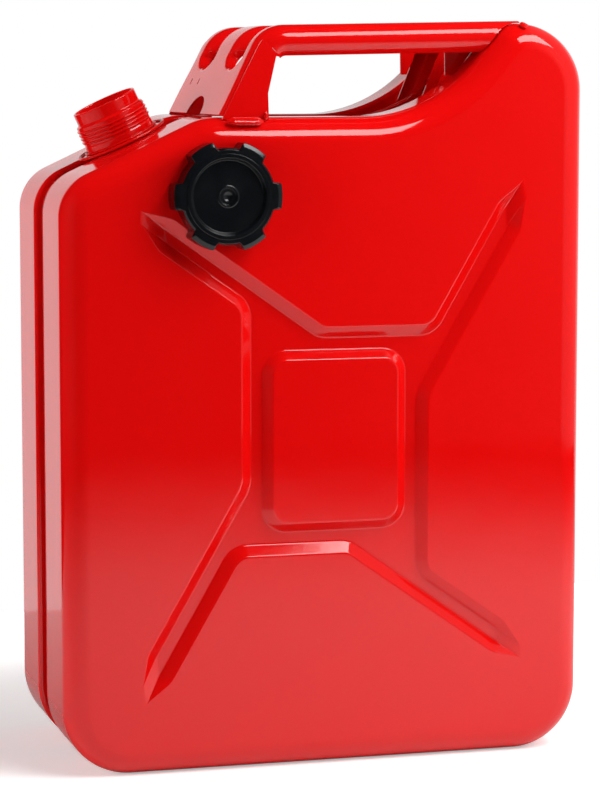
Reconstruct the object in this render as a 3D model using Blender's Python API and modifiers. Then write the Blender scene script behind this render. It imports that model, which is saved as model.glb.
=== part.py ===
"""A pressed-steel fuel can: two welded half shells, a triple-bar handle, a filler neck and its screw cap.

The can stands on its bottom at Z = 0. Its wide faces look along -Y (front) and +Y (rear), and the neck
is at -X. The cap is stowed flat on the front face by the magnet in its boss.
"""

import math

import bmesh
import bpy
from mathutils import Matrix, Vector

MM = 0.001

# Sheet, fits and how finely arcs are divided
SHEET = 1.0 * MM  # wall of the two shells
FIT = 0.3 * MM  # gap between pieces that touch or are welded
ARC_STEP = math.radians(16)
TURNED_SIDES = 36  # faces round a turned piece
PRESSED_SIDES = 32  # faces round the saddle and the hole under it
WELD_SIDES = (12, 8)  # faces round and along a short weld run
NEAR = 0.02 * MM  # places closer than this are the same

# Outline of both shells, seen from the front
BODY_WIDTH = 345 * MM
BODY_DEPTH = 165 * MM
TOP_HEIGHT = 417 * MM  # flat top under the handle
HUMP_RISE = 59.3 * MM  # air pocket at the handle's right end, above the flat top
BOTTOM_RADIUS = 43 * MM
HUMP_RADIUS = 43 * MM
SHOULDER_RADIUS = 30 * MM
SHOULDER_SLOPE = math.radians(25)
SHOULDER_WIDTH = 92.1 * MM  # from the can's left side to the flat top
SHOULDER_END_RADIUS = 40 * MM
SWEEP_SLOPE = math.radians(52)
SWEEP_RADIUS = 100 * MM  # hollow curve from the flat top up to the hump
HUMP_WIDTH = 53 * MM  # from the can's right side to the hollow curve
HUMP_START_RADIUS = 20 * MM

# Edge of a shell and the groove between the two
EDGE_RADIUS = 16.5 * MM
LIP_RADIUS = 3 * MM
GROOVE_DEPTH = 12 * MM
GROOVE_BEND = 2 * MM
GROOVE_HALF = 13.75 * MM  # half width on the sides and the bottom
NECK_GROOVE_HALF = 20 * MM  # half width between neck and handle
TROUGH_HALF = 38 * MM  # half width under the bars
TROUGH_START = (2.6 * MM, 23.6 * MM)  # where the groove widens, behind the end plate's foot
TROUGH_END = (66.5 * MM, 30.5 * MM)  # where it narrows again on the hump, from the can's right side
FLANGE_HEIGHT = 6 * MM  # upstand that the seam weld closes
SEAM_BEAD = 1.6 * MM  # radius

# Crossed pressing in the wide faces, the same after half a turn about its centre
PRESS_X = 3.5 * MM
PRESS_RISE = 2.7 * MM  # its centre above the middle of the flat-topped body
PRESS_DEPTH = 5.5 * MM
PRESS_WALL = 7 * MM  # width of its sloping wall, seen from the front
FLOOR_HALF_WIDTH = 55 * MM
FLOOR_HALF_HEIGHT = 65.8 * MM
FLOOR_RIM = 7.4 * MM  # width of the floor round the raised rectangle
ISLAND_WALL = 6.2 * MM
ISLAND_RADIUS = 16 * MM
SHALLOW_ANGLE = math.radians(35.3)  # upper left and lower right arms
SHALLOW_CORNER = -10.2 * MM  # X from the centre where its outer edge meets the floor's top edge
SHALLOW_FLOOR = 6.8 * MM
SHALLOW_TIP = 127.5 * MM  # X from the centre to the tip's outer corner
STEEP_ANGLE = math.radians(59.8)  # upper right and lower left arms
STEEP_CORNER = 67.5 * MM
STEEP_FLOOR = 7.9 * MM
STEEP_TIP = 125.5 * MM
TIP_LENGTH = 11.5 * MM
RAMP = 23 * MM  # the arms run out to the face over this length
FLOOR_RADIUS = 18 * MM
SIDE_RADIUS = 26 * MM

# Filler neck on the sloping shoulder
NECK_FOOT = 55.7 * MM  # from the can's left side
NECK_HEIGHT = 29.1 * MM  # from the shoulder to the mouth
NECK_RADIUS = 21.4 * MM  # at the mouth
NECK_FOOT_RADIUS = 23.4 * MM  # from the thread down
NECK_WALL = 1.6 * MM
THREAD_RADIUS = 23.9 * MM
THREAD_SPAN = (7.5 * MM, 20 * MM)  # height of the threaded band above the shoulder
NECK_HOLE_RADIUS = 21 * MM
SADDLE_LENGTH = 28 * MM  # half, along the slope
SADDLE_WIDTH = 27 * MM  # half, across the can
SADDLE_RISE = 0.4 * MM
SADDLE_KNEE = (0.3, 0.15)  # shares of its skirt's width and of its rise where it starts to climb
SADDLE_STEP = 0.7  # share of its rise beside the neck's weld
NECK_BEAD = 0.8 * MM
SADDLE_BEAD = 1.2 * MM

# Handle: one pressing with an end plate and three bars, and two side gussets
HANDLE_SHEET = 1.5 * MM
HANDLE_HALF_WIDTH = 73 * MM
BAR_DEPTH = 19.6 * MM
PLATE_FOOT = 102.9 * MM  # from the can's left side
PLATE_ANGLE = math.radians(62.7)
PLATE_BEND = 25 * MM
PRESSED_EDGE = 5 * MM  # rounding of the pressing's edges
SLOT_Y = 36 * MM
SLOT_HALF = 10.5 * MM
SLOT_HEIGHT = 32 * MM  # from the plate's foot up the plate to the slots' lower ends
SLOT_LIP = 12 * MM  # depth of the slots' turned-in edge at the end plate
PLATE_ARCH_HALF = 19 * MM
PLATE_ARCH_HEIGHT = 12.6 * MM
NOTCH_ANGLE = math.radians(45.5)  # where a side wall of the bars begins on the bend
BAR_SLOPE = math.radians(1.1)  # the bars rise a little towards the hump
BAR_END = 11.5 * MM  # the outer bars end this far past the start of the hump
LEG_START = 10.8 * MM  # where the middle bar turns down into the trough, past the sweep's corner
LEG_BEND = 16 * MM
LEG_TURN = math.radians(112)
LEG_LIP = 9 * MM
LEG_TAPER = 20.5 * MM  # length over which the middle bar's walls get lower before the leg
TAB_START = 13.3 * MM  # the outer bars' inner walls reach down to the shells from here, past the corner
TAB_DEPTH = 34 * MM
GUSSET_FOOT = 31.1 * MM  # behind the end plate's foot
GUSSET_WAIST = (30.6 * MM, 15 * MM)  # behind the end plate's foot and above the flat top
GUSSET_TOP = math.radians(48.5)  # where its front edge ends on the bend
GUSSET_NOSE_RADIUS = 7 * MM  # from the bend's centre to the gusset's upper corner
GUSSET_CHIN = (8.5 * MM, 5 * MM)  # before and above the bend's centre
GUSSET_INSET = 1.8 * MM  # its front edge behind the pressing's outer face

# Weld runs at the handle: half length, half thickness and half height
FOOT_WELD = (13 * MM, 2.2 * MM, 3.6 * MM)
FOOT_WELD_AT = 14.6 * MM  # behind the end plate's foot
FOOT_WELD_TURN = math.radians(43)  # how far down the edge rounding it lies
EDGE_WELD = (1.5 * MM, 1.2 * MM, 3.6 * MM)
EDGE_WELD_AT = 2.5 * MM  # before the gusset's rear corner
BAR_WELD = (3.2 * MM, 1.1 * MM, 4.5 * MM)
BAR_WELD_TURN = math.radians(24)
LEG_WELD = 1.6 * MM  # radius
LEG_WELD_SPAN = (5 * MM, 18 * MM)  # from the middle plane

# Screw cap, stowed on the front face
CAP_PLACE = (101.5 * MM, 48.6 * MM)  # from the can's left side and below the flat top
CAP_HEIGHT = 18 * MM
CAP_RADIUS = 30.2 * MM
LUG_RADIUS = 34.8 * MM
LUG_COUNT = 6
LUG_HALF_ANGLE = math.radians(17)
CAP_CHAMFER = 1.6 * MM
CAP_TOP_THICKNESS = 2.8 * MM
DISC_RADIUS = 22.6 * MM
DISC_DEPTH = 3 * MM
RIM_LAND = 3 * MM
DIMPLE_RADIUS = 6.2 * MM
DIMPLE_DEPTH = 0.9 * MM
THREAD_FIT = 0.5 * MM
BOSS_RADIUS = 8 * MM
MAGNET_RADIUS = 6 * MM
MAGNET_HEIGHT = 4 * MM
GASKET_WIDTH = 4.4 * MM
GASKET_HEIGHT = 2.2 * MM

# The cap stands in front of the can, and the whole object is centred in Y
BODY_Y = (FIT + CAP_HEIGHT) / 2

# Values that follow from the ones above
HALF_WIDTH = BODY_WIDTH / 2
HALF_DEPTH = BODY_DEPTH / 2
HUMP_HEIGHT = TOP_HEIGHT + HUMP_RISE
SHOULDER_END_X = SHOULDER_WIDTH - HALF_WIDTH
HUMP_START_X = HALF_WIDTH - HUMP_WIDTH
NECK_FOOT_X = NECK_FOOT - HALF_WIDTH
PLATE_FOOT_X = PLATE_FOOT - HALF_WIDTH
SHOULDER_START_Z = TOP_HEIGHT - (SHOULDER_END_X + HALF_WIDTH) * math.tan(SHOULDER_SLOPE)
SWEEP_X = HUMP_START_X - HUMP_RISE / math.tan(SWEEP_SLOPE)
WIDENING_X = (PLATE_FOOT_X + TROUGH_START[0], PLATE_FOOT_X + TROUGH_START[1])
NARROWING_X = (HALF_WIDTH - TROUGH_END[0], HALF_WIDTH - TROUGH_END[1])
PRESS_Z = TOP_HEIGHT / 2 + PRESS_RISE
NECK_FOOT_Z = TOP_HEIGHT - (SHOULDER_END_X - NECK_FOOT_X) * math.tan(SHOULDER_SLOPE)
FLANGE_Y = FIT / 2 + SHEET
FLANGE_TOP = FLANGE_HEIGHT - GROOVE_DEPTH
SADDLE_TOP = FIT + SHEET + SADDLE_RISE
CAP_BORE = THREAD_RADIUS + THREAD_FIT
BAR_TOP = HUMP_HEIGHT + FIT + HANDLE_SHEET
BAR_END_X = HUMP_START_X + BAR_END
LEG_BEND_X = SWEEP_X + LEG_START
PLATE_FOOT_Z = TOP_HEIGHT + 3 * FIT + HANDLE_SHEET * math.cos(PLATE_ANGLE)
BEND_TURN = PLATE_ANGLE - BAR_SLOPE
PLATE_REACH = (
    (BAR_TOP - PLATE_FOOT_Z) * math.cos(BAR_SLOPE) - (BAR_END_X - PLATE_FOOT_X) * math.sin(BAR_SLOPE)
) / math.sin(BEND_TURN)
PLATE_LENGTH = PLATE_REACH - PLATE_BEND * math.tan(BEND_TURN / 2)
BEND_CENTRE_X = PLATE_FOOT_X + PLATE_LENGTH * math.cos(PLATE_ANGLE) + PLATE_BEND * math.sin(PLATE_ANGLE)
BEND_CENTRE_Z = PLATE_FOOT_Z + PLATE_LENGTH * math.sin(PLATE_ANGLE) - PLATE_BEND * math.cos(PLATE_ANGLE)
BEND_LENGTH = PLATE_BEND * BEND_TURN
BAR_START = PLATE_LENGTH + BEND_LENGTH
NOTCH_AT = PLATE_LENGTH + PLATE_BEND * (PLATE_ANGLE - NOTCH_ANGLE)


def clear_scene():
    for old in list(bpy.data.objects):
        bpy.data.objects.remove(old)


def new_collection(name):
    collection = bpy.data.collections.new(name)
    bpy.context.scene.collection.children.link(collection)
    return collection


def material(name, colour, roughness, metallic):
    made = bpy.data.materials.new(name)
    made.use_nodes = True
    shader = made.node_tree.nodes["Principled BSDF"]
    shader.inputs["Base Color"].default_value = (*colour, 1)
    shader.inputs["Roughness"].default_value = roughness
    shader.inputs["Metallic"].default_value = metallic
    made.diffuse_color = (*colour, 1)
    return made


ENAMEL = ((0.72, 0.012, 0.012), 0.25, 0.0)
WELD_ENAMEL = ((0.62, 0.015, 0.015), 0.35, 0.0)
CAP_PLASTIC = ((0.012, 0.012, 0.014), 0.35, 0.0)
RUBBER = ((0.02, 0.02, 0.02), 0.8, 0.0)
MAGNET_METAL = ((0.5, 0.5, 0.5), 0.3, 1.0)


def finish(name, bm, look, parent, collection):
    """Makes an object of a bmesh, with its own material, smooth faces and sharp creases."""
    mesh = bpy.data.meshes.new(name)
    bm.to_mesh(mesh)
    bm.free()
    mesh.shade_smooth()
    mesh.set_sharp_from_angle(angle=math.radians(35))
    mesh.materials.append(material(name + "_finish", *look))
    made = bpy.data.objects.new(name, mesh)
    collection.objects.link(made)
    made.parent = parent
    return made


def thicken(made, thickness):
    """Gives an open sheet its wall, on the side away from its face normals."""
    solidify = made.modifiers.new("wall", "SOLIDIFY")
    solidify.thickness = thickness
    solidify.offset = -1
    solidify.use_even_offset = True


def cut(made, cutter):
    boolean = made.modifiers.new("cut", "BOOLEAN")
    boolean.operation = "DIFFERENCE"
    boolean.solver = "EXACT"
    boolean.object = cutter


def as_cutter(name, bm, parent, collection):
    mesh = bpy.data.meshes.new(name)
    bmesh.ops.recalc_face_normals(bm, faces=bm.faces)
    bm.to_mesh(mesh)
    bm.free()
    made = bpy.data.objects.new(name, mesh)
    made.hide_render = True
    made.display_type = "WIRE"
    collection.objects.link(made)
    made.parent = parent
    return made


def left_of(direction):
    return Vector((-direction.y, direction.x))


def turned_by(direction, angle):
    cos, sin = math.cos(angle), math.sin(angle)
    return Vector((direction.x * cos - direction.y * sin, direction.x * sin + direction.y * cos))


def rounded(corners, closed=True):
    """Points of an outline with arcs at its corners (x, z, radius), each with the normal on its left."""
    points = []
    count = len(corners)
    for index, (x, z, radius) in enumerate(corners):
        here = Vector((x, z))
        if not closed and index in (0, count - 1):
            other = corners[1] if index == 0 else corners[-2]
            way = (Vector(other[:2]) - here) * (1 if index == 0 else -1)
            points.append((here, left_of(way.normalized())))
            continue
        before = (here - Vector(corners[index - 1][:2])).normalized()
        after = (Vector(corners[(index + 1) % count][:2]) - here).normalized()
        turn = math.atan2(before.cross(after), before.dot(after))
        steps = max(1, math.ceil(abs(turn) / ARC_STEP - 0.01))
        start = here - before * radius * math.tan(abs(turn) / 2)
        centre = start + left_of(before) * math.copysign(radius, turn)
        for k in range(steps + 1):
            way = turned_by(before, turn * k / steps)
            points.append((centre - left_of(way) * math.copysign(radius, turn), left_of(way)))
    return points


def with_stations(points, xs, low_z):
    """Adds a point on each straight stretch above low_z that crosses one of the given X values."""
    out = []
    for (here, normal), (after, next_normal) in zip(points, points[1:] + points[:1]):
        out.append((here, normal))
        for x in xs:
            if here.x + MM < x < after.x - MM and here.y > low_z:
                share = (x - here.x) / (after.x - here.x)
                out.append((here.lerp(after, share), normal.lerp(next_normal, share).normalized()))
    return out


def can_outline():
    """The shells' outline, clockwise from the bottom left, so that its left normals point outward."""
    corners = [
        (-HALF_WIDTH, 0, BOTTOM_RADIUS),
        (-HALF_WIDTH, SHOULDER_START_Z, SHOULDER_RADIUS),
        (SHOULDER_END_X, TOP_HEIGHT, SHOULDER_END_RADIUS),
        (SWEEP_X, TOP_HEIGHT, SWEEP_RADIUS),
        (HUMP_START_X, HUMP_HEIGHT, HUMP_START_RADIUS),
        (HALF_WIDTH, HUMP_HEIGHT, HUMP_RADIUS),
        (HALF_WIDTH, 0, BOTTOM_RADIUS),
    ]
    return with_stations(rounded(corners), WIDENING_X, TOP_HEIGHT - MM)


def groove_half(point):
    """Half width of the groove at a point of the outline."""
    if point.y < SHOULDER_START_Z:
        return GROOVE_HALF
    widths = (
        (-HALF_WIDTH, GROOVE_HALF),
        (SHOULDER_END_X, NECK_GROOVE_HALF),
        (WIDENING_X[0], NECK_GROOVE_HALF),
        (WIDENING_X[1], TROUGH_HALF),
        (NARROWING_X[0], TROUGH_HALF),
        (NARROWING_X[1], GROOVE_HALF),
        (HALF_WIDTH, GROOVE_HALF),
    )
    for (x0, w0), (x1, w1) in zip(widths, widths[1:]):
        if point.x <= x1:
            return w0 + (w1 - w0) * max(0, point.x - x0) / (x1 - x0)
    return GROOVE_HALF


def arc(centre_y, centre_n, radius, start, end, steps):
    """Points (y, n) on an arc, its angles measured from +y towards +n."""
    angles = [start + (end - start) * k / steps for k in range(steps + 1)]
    return [(centre_y + radius * math.cos(a), centre_n + radius * math.sin(a)) for a in angles]


def shell_section(half):
    """Half of the can's wall across the seam: distance from the middle plane, height over the outline."""
    quarter = math.pi / 2
    rows = arc(HALF_DEPTH - EDGE_RADIUS, -EDGE_RADIUS, EDGE_RADIUS, 0, quarter, 4)
    rows += arc(half + LIP_RADIUS, -LIP_RADIUS, LIP_RADIUS, quarter, 2 * quarter, 2)
    bend_n = GROOVE_BEND - GROOVE_DEPTH
    rows += arc(half - GROOVE_BEND, bend_n, GROOVE_BEND, 0, -quarter, 2)
    rows += arc(FLANGE_Y + GROOVE_BEND, bend_n, GROOVE_BEND, -quarter, -2 * quarter, 2)
    rows.append((FLANGE_Y, FLANGE_TOP))
    return rows


def half_turn(points):
    """Pressing points about its centre, turned by half a turn."""
    return [(-point, -normal) for point, normal in points]


def press_runs():
    """The four edges of the pressing's floor between arm tips, clockwise, about the pressing's centre."""
    shallow = Vector((math.cos(SHALLOW_ANGLE), -math.sin(SHALLOW_ANGLE)))
    steep = Vector((math.cos(STEEP_ANGLE), math.sin(STEEP_ANGLE)))
    shallow_corner = Vector((SHALLOW_CORNER, FLOOR_HALF_HEIGHT))
    steep_corner = Vector((STEEP_CORNER, FLOOR_HALF_HEIGHT))
    shallow_tip = shallow_corner - shallow * (SHALLOW_TIP + SHALLOW_CORNER) / shallow.x
    steep_tip = steep_corner + steep * (STEEP_TIP - STEEP_CORNER) / steep.x
    top = [shallow_tip, shallow_corner, steep_corner, steep_tip]

    def inner_line(outer, way, width):
        """Where the arm's inner edge, parallel to the outer one, crosses the floor's right edge."""
        through = outer - left_of(way) * width
        return through + way * (FLOOR_HALF_WIDTH - through.x) / way.x

    def inner_tip(tip, way, width):
        """The tip's end is cut off a little askew."""
        return tip - left_of(way) * width - way * math.sqrt(TIP_LENGTH**2 - width**2)

    right_upper = inner_line(steep_corner, steep, STEEP_FLOOR)
    right_tip = inner_tip(steep_tip, steep, STEEP_FLOOR)
    lower_tip = -(shallow_tip - left_of(shallow) * SHALLOW_FLOOR + shallow * (TIP_LENGTH - SHALLOW_FLOOR))
    lower = inner_line(-shallow_corner, shallow, -SHALLOW_FLOOR)
    right = [right_tip, right_upper, lower, lower_tip]
    runs = []
    top_radii = (0, FLOOR_RADIUS, FLOOR_RADIUS, 0)
    right_radii = (0, SIDE_RADIUS, FLOOR_RADIUS, 0)
    for corners, radii in ((top, top_radii), (right, right_radii)):
        points = rounded([(*c, r) for c, r in zip(corners, radii)], closed=False)
        first, last = points[0], points[-1]
        ramp_in = (first[0] + (points[1][0] - first[0]).normalized() * RAMP, first[1])
        ramp_out = (last[0] + (points[-2][0] - last[0]).normalized() * RAMP, last[1])
        runs.append([first, ramp_in, *points[1:-1], ramp_out, last])
    return runs + [half_turn(run) for run in runs]


def island_loop(inset, radius):
    half_width = FLOOR_HALF_WIDTH - FLOOR_RIM - inset
    half_height = FLOOR_HALF_HEIGHT - FLOOR_RIM - inset
    signs = ((-1, -1), (-1, 1), (1, 1), (1, -1))
    corners = [(sx * half_width, sz * half_height, radius) for sx, sz in signs]
    return [point for point, _ in rounded(corners)]


def edges_of(bm, verts):
    """The edges of a closed loop of vertices, made where they are missing."""
    pairs = zip(verts, verts[1:] + verts[:1])
    return [bm.edges.get(pair) or bm.edges.new(pair) for pair in pairs]


def fill(bm, *loops):
    """Fills the flat region between closed loops of vertices."""
    edges = [edge for loop in loops for edge in edges_of(bm, loop)]
    bmesh.ops.triangle_fill(bm, edges=edges, use_beauty=True, use_dissolve=False, normal=(0, -1, 0))


def strip(bm, upper, lower):
    """Joins two rows of vertices, which may share their ends, by a strip of faces."""
    for a, b, c, d in zip(upper, upper[1:], lower[1:], lower):
        corners = [v for k, v in enumerate((a, b, c, d)) if v not in (a, b, c, d)[:k]]
        if len(corners) > 2:
            bm.faces.new(corners)


def front_shell_mesh():
    """The front tray as an open sheet: face with the pressing, rounded edge, side, groove and flange."""
    bm = bmesh.new()
    outline = can_outline()
    sections = [shell_section(groove_half(point)) for point, _ in outline]
    rows = []
    for row in range(len(sections[0])):
        verts = []
        for (point, normal), section in zip(outline, sections):
            y, n = section[row]
            place = point + normal * n
            verts.append(bm.verts.new((place.x, -y, place.y)))
        rows.append(verts)
    for upper, lower in zip(rows, rows[1:]):
        strip(bm, upper + upper[:1], lower + lower[:1])

    def press_vert(point, depth):
        return bm.verts.new((PRESS_X + point.x, depth - HALF_DEPTH, PRESS_Z + point.y))

    fields, feet = [], []
    for run in press_runs():
        start, end = press_vert(run[0][0], 0), press_vert(run[-1][0], 0)
        inner = run[1:-1]
        fields.append([start] + [press_vert(p + n * PRESS_WALL, 0) for p, n in inner] + [end])
        feet.append([start] + [press_vert(p, PRESS_DEPTH) for p, n in inner] + [end])
    island_foot = [press_vert(p, PRESS_DEPTH) for p in island_loop(0, ISLAND_RADIUS)]
    island_top = [press_vert(p, 0) for p in island_loop(ISLAND_WALL, ISLAND_RADIUS - ISLAND_WALL)]
    fill(bm, rows[0], [v for field in fields for v in field])
    fill(bm, [v for foot in feet for v in foot[1:-1]], island_foot)
    fill(bm, island_top)
    strip(bm, island_top + island_top[:1], island_foot + island_foot[:1])
    for index, (field, foot) in enumerate(zip(fields, feet)):
        strip(bm, field, foot)
        after = feet[(index + 1) % len(feet)]
        bm.faces.new((foot[-2], foot[-1], after[0], after[1]))
    bmesh.ops.recalc_face_normals(bm, faces=bm.faces)
    bm.faces.ensure_lookup_table()
    face_side = next(face for face in bm.faces if all(v in island_top for v in face.verts))
    if face_side.normal.y > 0:
        bmesh.ops.reverse_faces(bm, faces=bm.faces)
    return bm


def neck_frame():
    """Turns the neck's own frame, Z along its axis and X up the shoulder, into the can's frame."""
    return Matrix.Translation((NECK_FOOT_X, 0, NECK_FOOT_Z)) @ Matrix.Rotation(-SHOULDER_SLOPE, 4, "Y")


def drum(bm, radius, height, sides):
    bmesh.ops.create_cone(bm, cap_ends=True, segments=sides, radius1=radius, radius2=radius, depth=height)


def make_shells(root, parts, cutters):
    bm = bmesh.new()
    reach = 2 * GROOVE_DEPTH + SADDLE_TOP
    drum(bm, NECK_HOLE_RADIUS, 2 * reach, PRESSED_SIDES)
    bm.transform(neck_frame())
    hole = as_cutter("neck_hole_cutter", bm, root, cutters)
    front = finish("front_shell", front_shell_mesh(), ENAMEL, root, parts)
    bm = front_shell_mesh()
    bm.transform(Matrix.Scale(-1, 4, (0, 1, 0)))
    bmesh.ops.reverse_faces(bm, faces=bm.faces)
    rear = finish("rear_shell", bm, ENAMEL, root, parts)
    for shell in (front, rear):
        thicken(shell, SHEET)
        cut(shell, hole)


def tube(name, points, radius, look, root, parts, cyclic=False):
    """A round bead along points, as a curve with filled ends."""
    curve = bpy.data.curves.new(name, "CURVE")
    curve.dimensions = "3D"
    curve.bevel_depth = radius
    curve.bevel_resolution = 1
    curve.use_fill_caps = True
    spline = curve.splines.new("POLY")
    spline.points.add(len(points) - 1)
    spline.use_cyclic_u = cyclic
    for place, point in zip(spline.points, points):
        place.co = (*point, 1)
    curve.materials.append(material(name + "_finish", *look))
    made = bpy.data.objects.new(name, curve)
    parts.objects.link(made)
    made.parent = root
    return made


def make_seam_bead(root, parts):
    """The bead on the two flanges, round the can from one side of the neck to the other."""
    height = FLANGE_TOP + FIT + SEAM_BEAD
    outline = can_outline()
    clear = SADDLE_LENGTH + SADDLE_BEAD * 2 + FIT
    slope = Vector((math.cos(SHOULDER_SLOPE), math.sin(SHOULDER_SLOPE)))
    normal = left_of(slope)
    foot = Vector((NECK_FOOT_X, NECK_FOOT_Z))
    ends = [foot + slope * side * clear + normal * height for side in (1, -1)]
    past = next(k for k, (p, _) in enumerate(outline) if p.y > SHOULDER_START_Z and p.x > foot.x)
    round_the_can = [p + n * height for p, n in outline[past:] + outline[:past]]
    away = clear + 2 * SEAM_BEAD
    path = [ends[0], *[p for p in round_the_can if (p - foot).length > away], ends[1]]
    tube("seam_weld_bead", [(p.x, 0, p.y) for p in path], SEAM_BEAD, WELD_ENAMEL, root, parts)


def ring_rows(bm, rows, count):
    """A sheet through rings given as (half length, half width, height)."""
    rings = []
    for along, across, height in rows:
        ring = []
        for k in range(count):
            angle = 2 * math.pi * k / count
            ring.append(bm.verts.new((along * math.cos(angle), across * math.sin(angle), height)))
        rings.append(ring)
    for outer, inner in zip(rings, rings[1:]):
        strip(bm, outer + outer[:1], inner + inner[:1])


def make_neck(root, parts):
    frame = neck_frame()
    bore = NECK_RADIUS - NECK_WALL
    flange_top = FIT + SHEET
    foot_out = NECK_FOOT_RADIUS + 2 * NECK_BEAD + FIT
    knee = foot_out + SADDLE_KNEE[0] * (SADDLE_LENGTH - foot_out)
    bm = bmesh.new()
    rows = [
        (SADDLE_LENGTH, SADDLE_WIDTH, flange_top),
        (knee, foot_out, flange_top + SADDLE_KNEE[1] * SADDLE_RISE),
        (foot_out, foot_out, flange_top + SADDLE_STEP * SADDLE_RISE),
        (NECK_FOOT_RADIUS, NECK_FOOT_RADIUS, SADDLE_TOP),
        (bore, bore, SADDLE_TOP),
    ]
    ring_rows(bm, rows, PRESSED_SIDES)
    bmesh.ops.recalc_face_normals(bm, faces=bm.faces)
    bm.faces.ensure_lookup_table()
    if bm.faces[0].normal.z < 0:
        bmesh.ops.reverse_faces(bm, faces=bm.faces)
    saddle = finish("neck_saddle", bm, ENAMEL, root, parts)
    saddle.matrix_local = frame
    thicken(saddle, SHEET)

    bm = bmesh.new()
    foot = SADDLE_TOP + FIT
    step = NECK_WALL / 2
    inside = NECK_FOOT_RADIUS - NECK_WALL
    shoulder = THREAD_SPAN[1] + step
    profile = [
        (bore, NECK_HEIGHT),
        (NECK_RADIUS - step, NECK_HEIGHT),
        (NECK_RADIUS, NECK_HEIGHT - step),
        (NECK_RADIUS, shoulder),
        (THREAD_RADIUS, THREAD_SPAN[1]),
        (THREAD_RADIUS, THREAD_SPAN[0]),
        (NECK_FOOT_RADIUS, THREAD_SPAN[0] - step),
        (NECK_FOOT_RADIUS, foot),
        (inside, foot),
        (inside, THREAD_SPAN[1] - step),
        (bore, shoulder),
    ]
    edges_of(bm, [bm.verts.new((r, 0, h)) for r, h in profile])
    neck = finish("filler_neck", bm, ENAMEL, root, parts)
    neck.matrix_local = frame
    screw = neck.modifiers.new("turn", "SCREW")
    screw.steps = TURNED_SIDES
    screw.render_steps = TURNED_SIDES
    screw.use_merge_vertices = True
    screw.merge_threshold = 0.00001
    screw.use_smooth_shade = True

    def ring(name, along, across, height, radius):
        points = []
        for k in range(TURNED_SIDES):
            angle = 2 * math.pi * k / TURNED_SIDES
            points.append((along * math.cos(angle), across * math.sin(angle), height))
        made = tube(name, points, radius, WELD_ENAMEL, root, parts, cyclic=True)
        made.matrix_local = frame

    neck_ring = NECK_FOOT_RADIUS + FIT + NECK_BEAD
    ring("filler_neck_weld", neck_ring, neck_ring, SADDLE_TOP + FIT + NECK_BEAD, NECK_BEAD)
    aside = FIT + SADDLE_BEAD
    ring("neck_saddle_weld", SADDLE_LENGTH + aside, SADDLE_WIDTH + aside, aside, SADDLE_BEAD)


def along_path(pieces, u):
    """Point and left normal at u on the handle's side view, made of (length, turn to the right) pieces."""
    here = Vector((PLATE_FOOT_X, PLATE_FOOT_Z))
    heading = PLATE_ANGLE
    for index, (length, turn) in enumerate(pieces):
        part = u if index == len(pieces) - 1 else min(u, length)
        if turn:
            radius = length / turn
            way = Vector((math.cos(heading), math.sin(heading)))
            centre = here - left_of(way) * radius
            heading -= part / radius
            way = Vector((math.cos(heading), math.sin(heading)))
            here = centre + left_of(way) * radius
        else:
            here = here + Vector((math.cos(heading), math.sin(heading))) * part
        u -= part
        if u <= 0:
            break
    return here, left_of(Vector((math.cos(heading), math.sin(heading))))


def bar_at(x):
    """Distance along the handle of a place on the straight bars."""
    start = BEND_CENTRE_X - PLATE_BEND * math.sin(BAR_SLOPE)
    return BAR_START + (x - start) / math.cos(BAR_SLOPE)


def bar_point(x):
    """Place in the side view of the bars' upper face at x."""
    return Vector((x, BAR_TOP - (BAR_END_X - x) * math.tan(BAR_SLOPE)))


def leg_way():
    """Direction of the middle bar's leg, down and back from its bend."""
    return Vector((math.cos(LEG_TURN), -math.sin(LEG_TURN)))


def leg_to_floor(off, gap):
    """Length from the bend, on a line beside the leg's outer face, to a gap above the trough's floor."""
    way = leg_way()
    down = Vector((math.sin(BAR_SLOPE), -math.cos(BAR_SLOPE)))
    start = bar_point(LEG_BEND_X) + down * LEG_BEND + left_of(way) * (LEG_BEND + off)
    sweep_start_x = SWEEP_X - SWEEP_RADIUS * math.tan(SWEEP_SLOPE / 2)
    out = start - Vector((sweep_start_x, TOP_HEIGHT + SWEEP_RADIUS))
    half_step = SWEEP_SLOPE / math.ceil(SWEEP_SLOPE / ARC_STEP) / 2
    reach = (SWEEP_RADIUS + GROOVE_DEPTH) * math.cos(half_step) - gap
    along = out.dot(way)
    return -along + math.sqrt(along**2 - out.length_squared + reach**2), start


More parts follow.
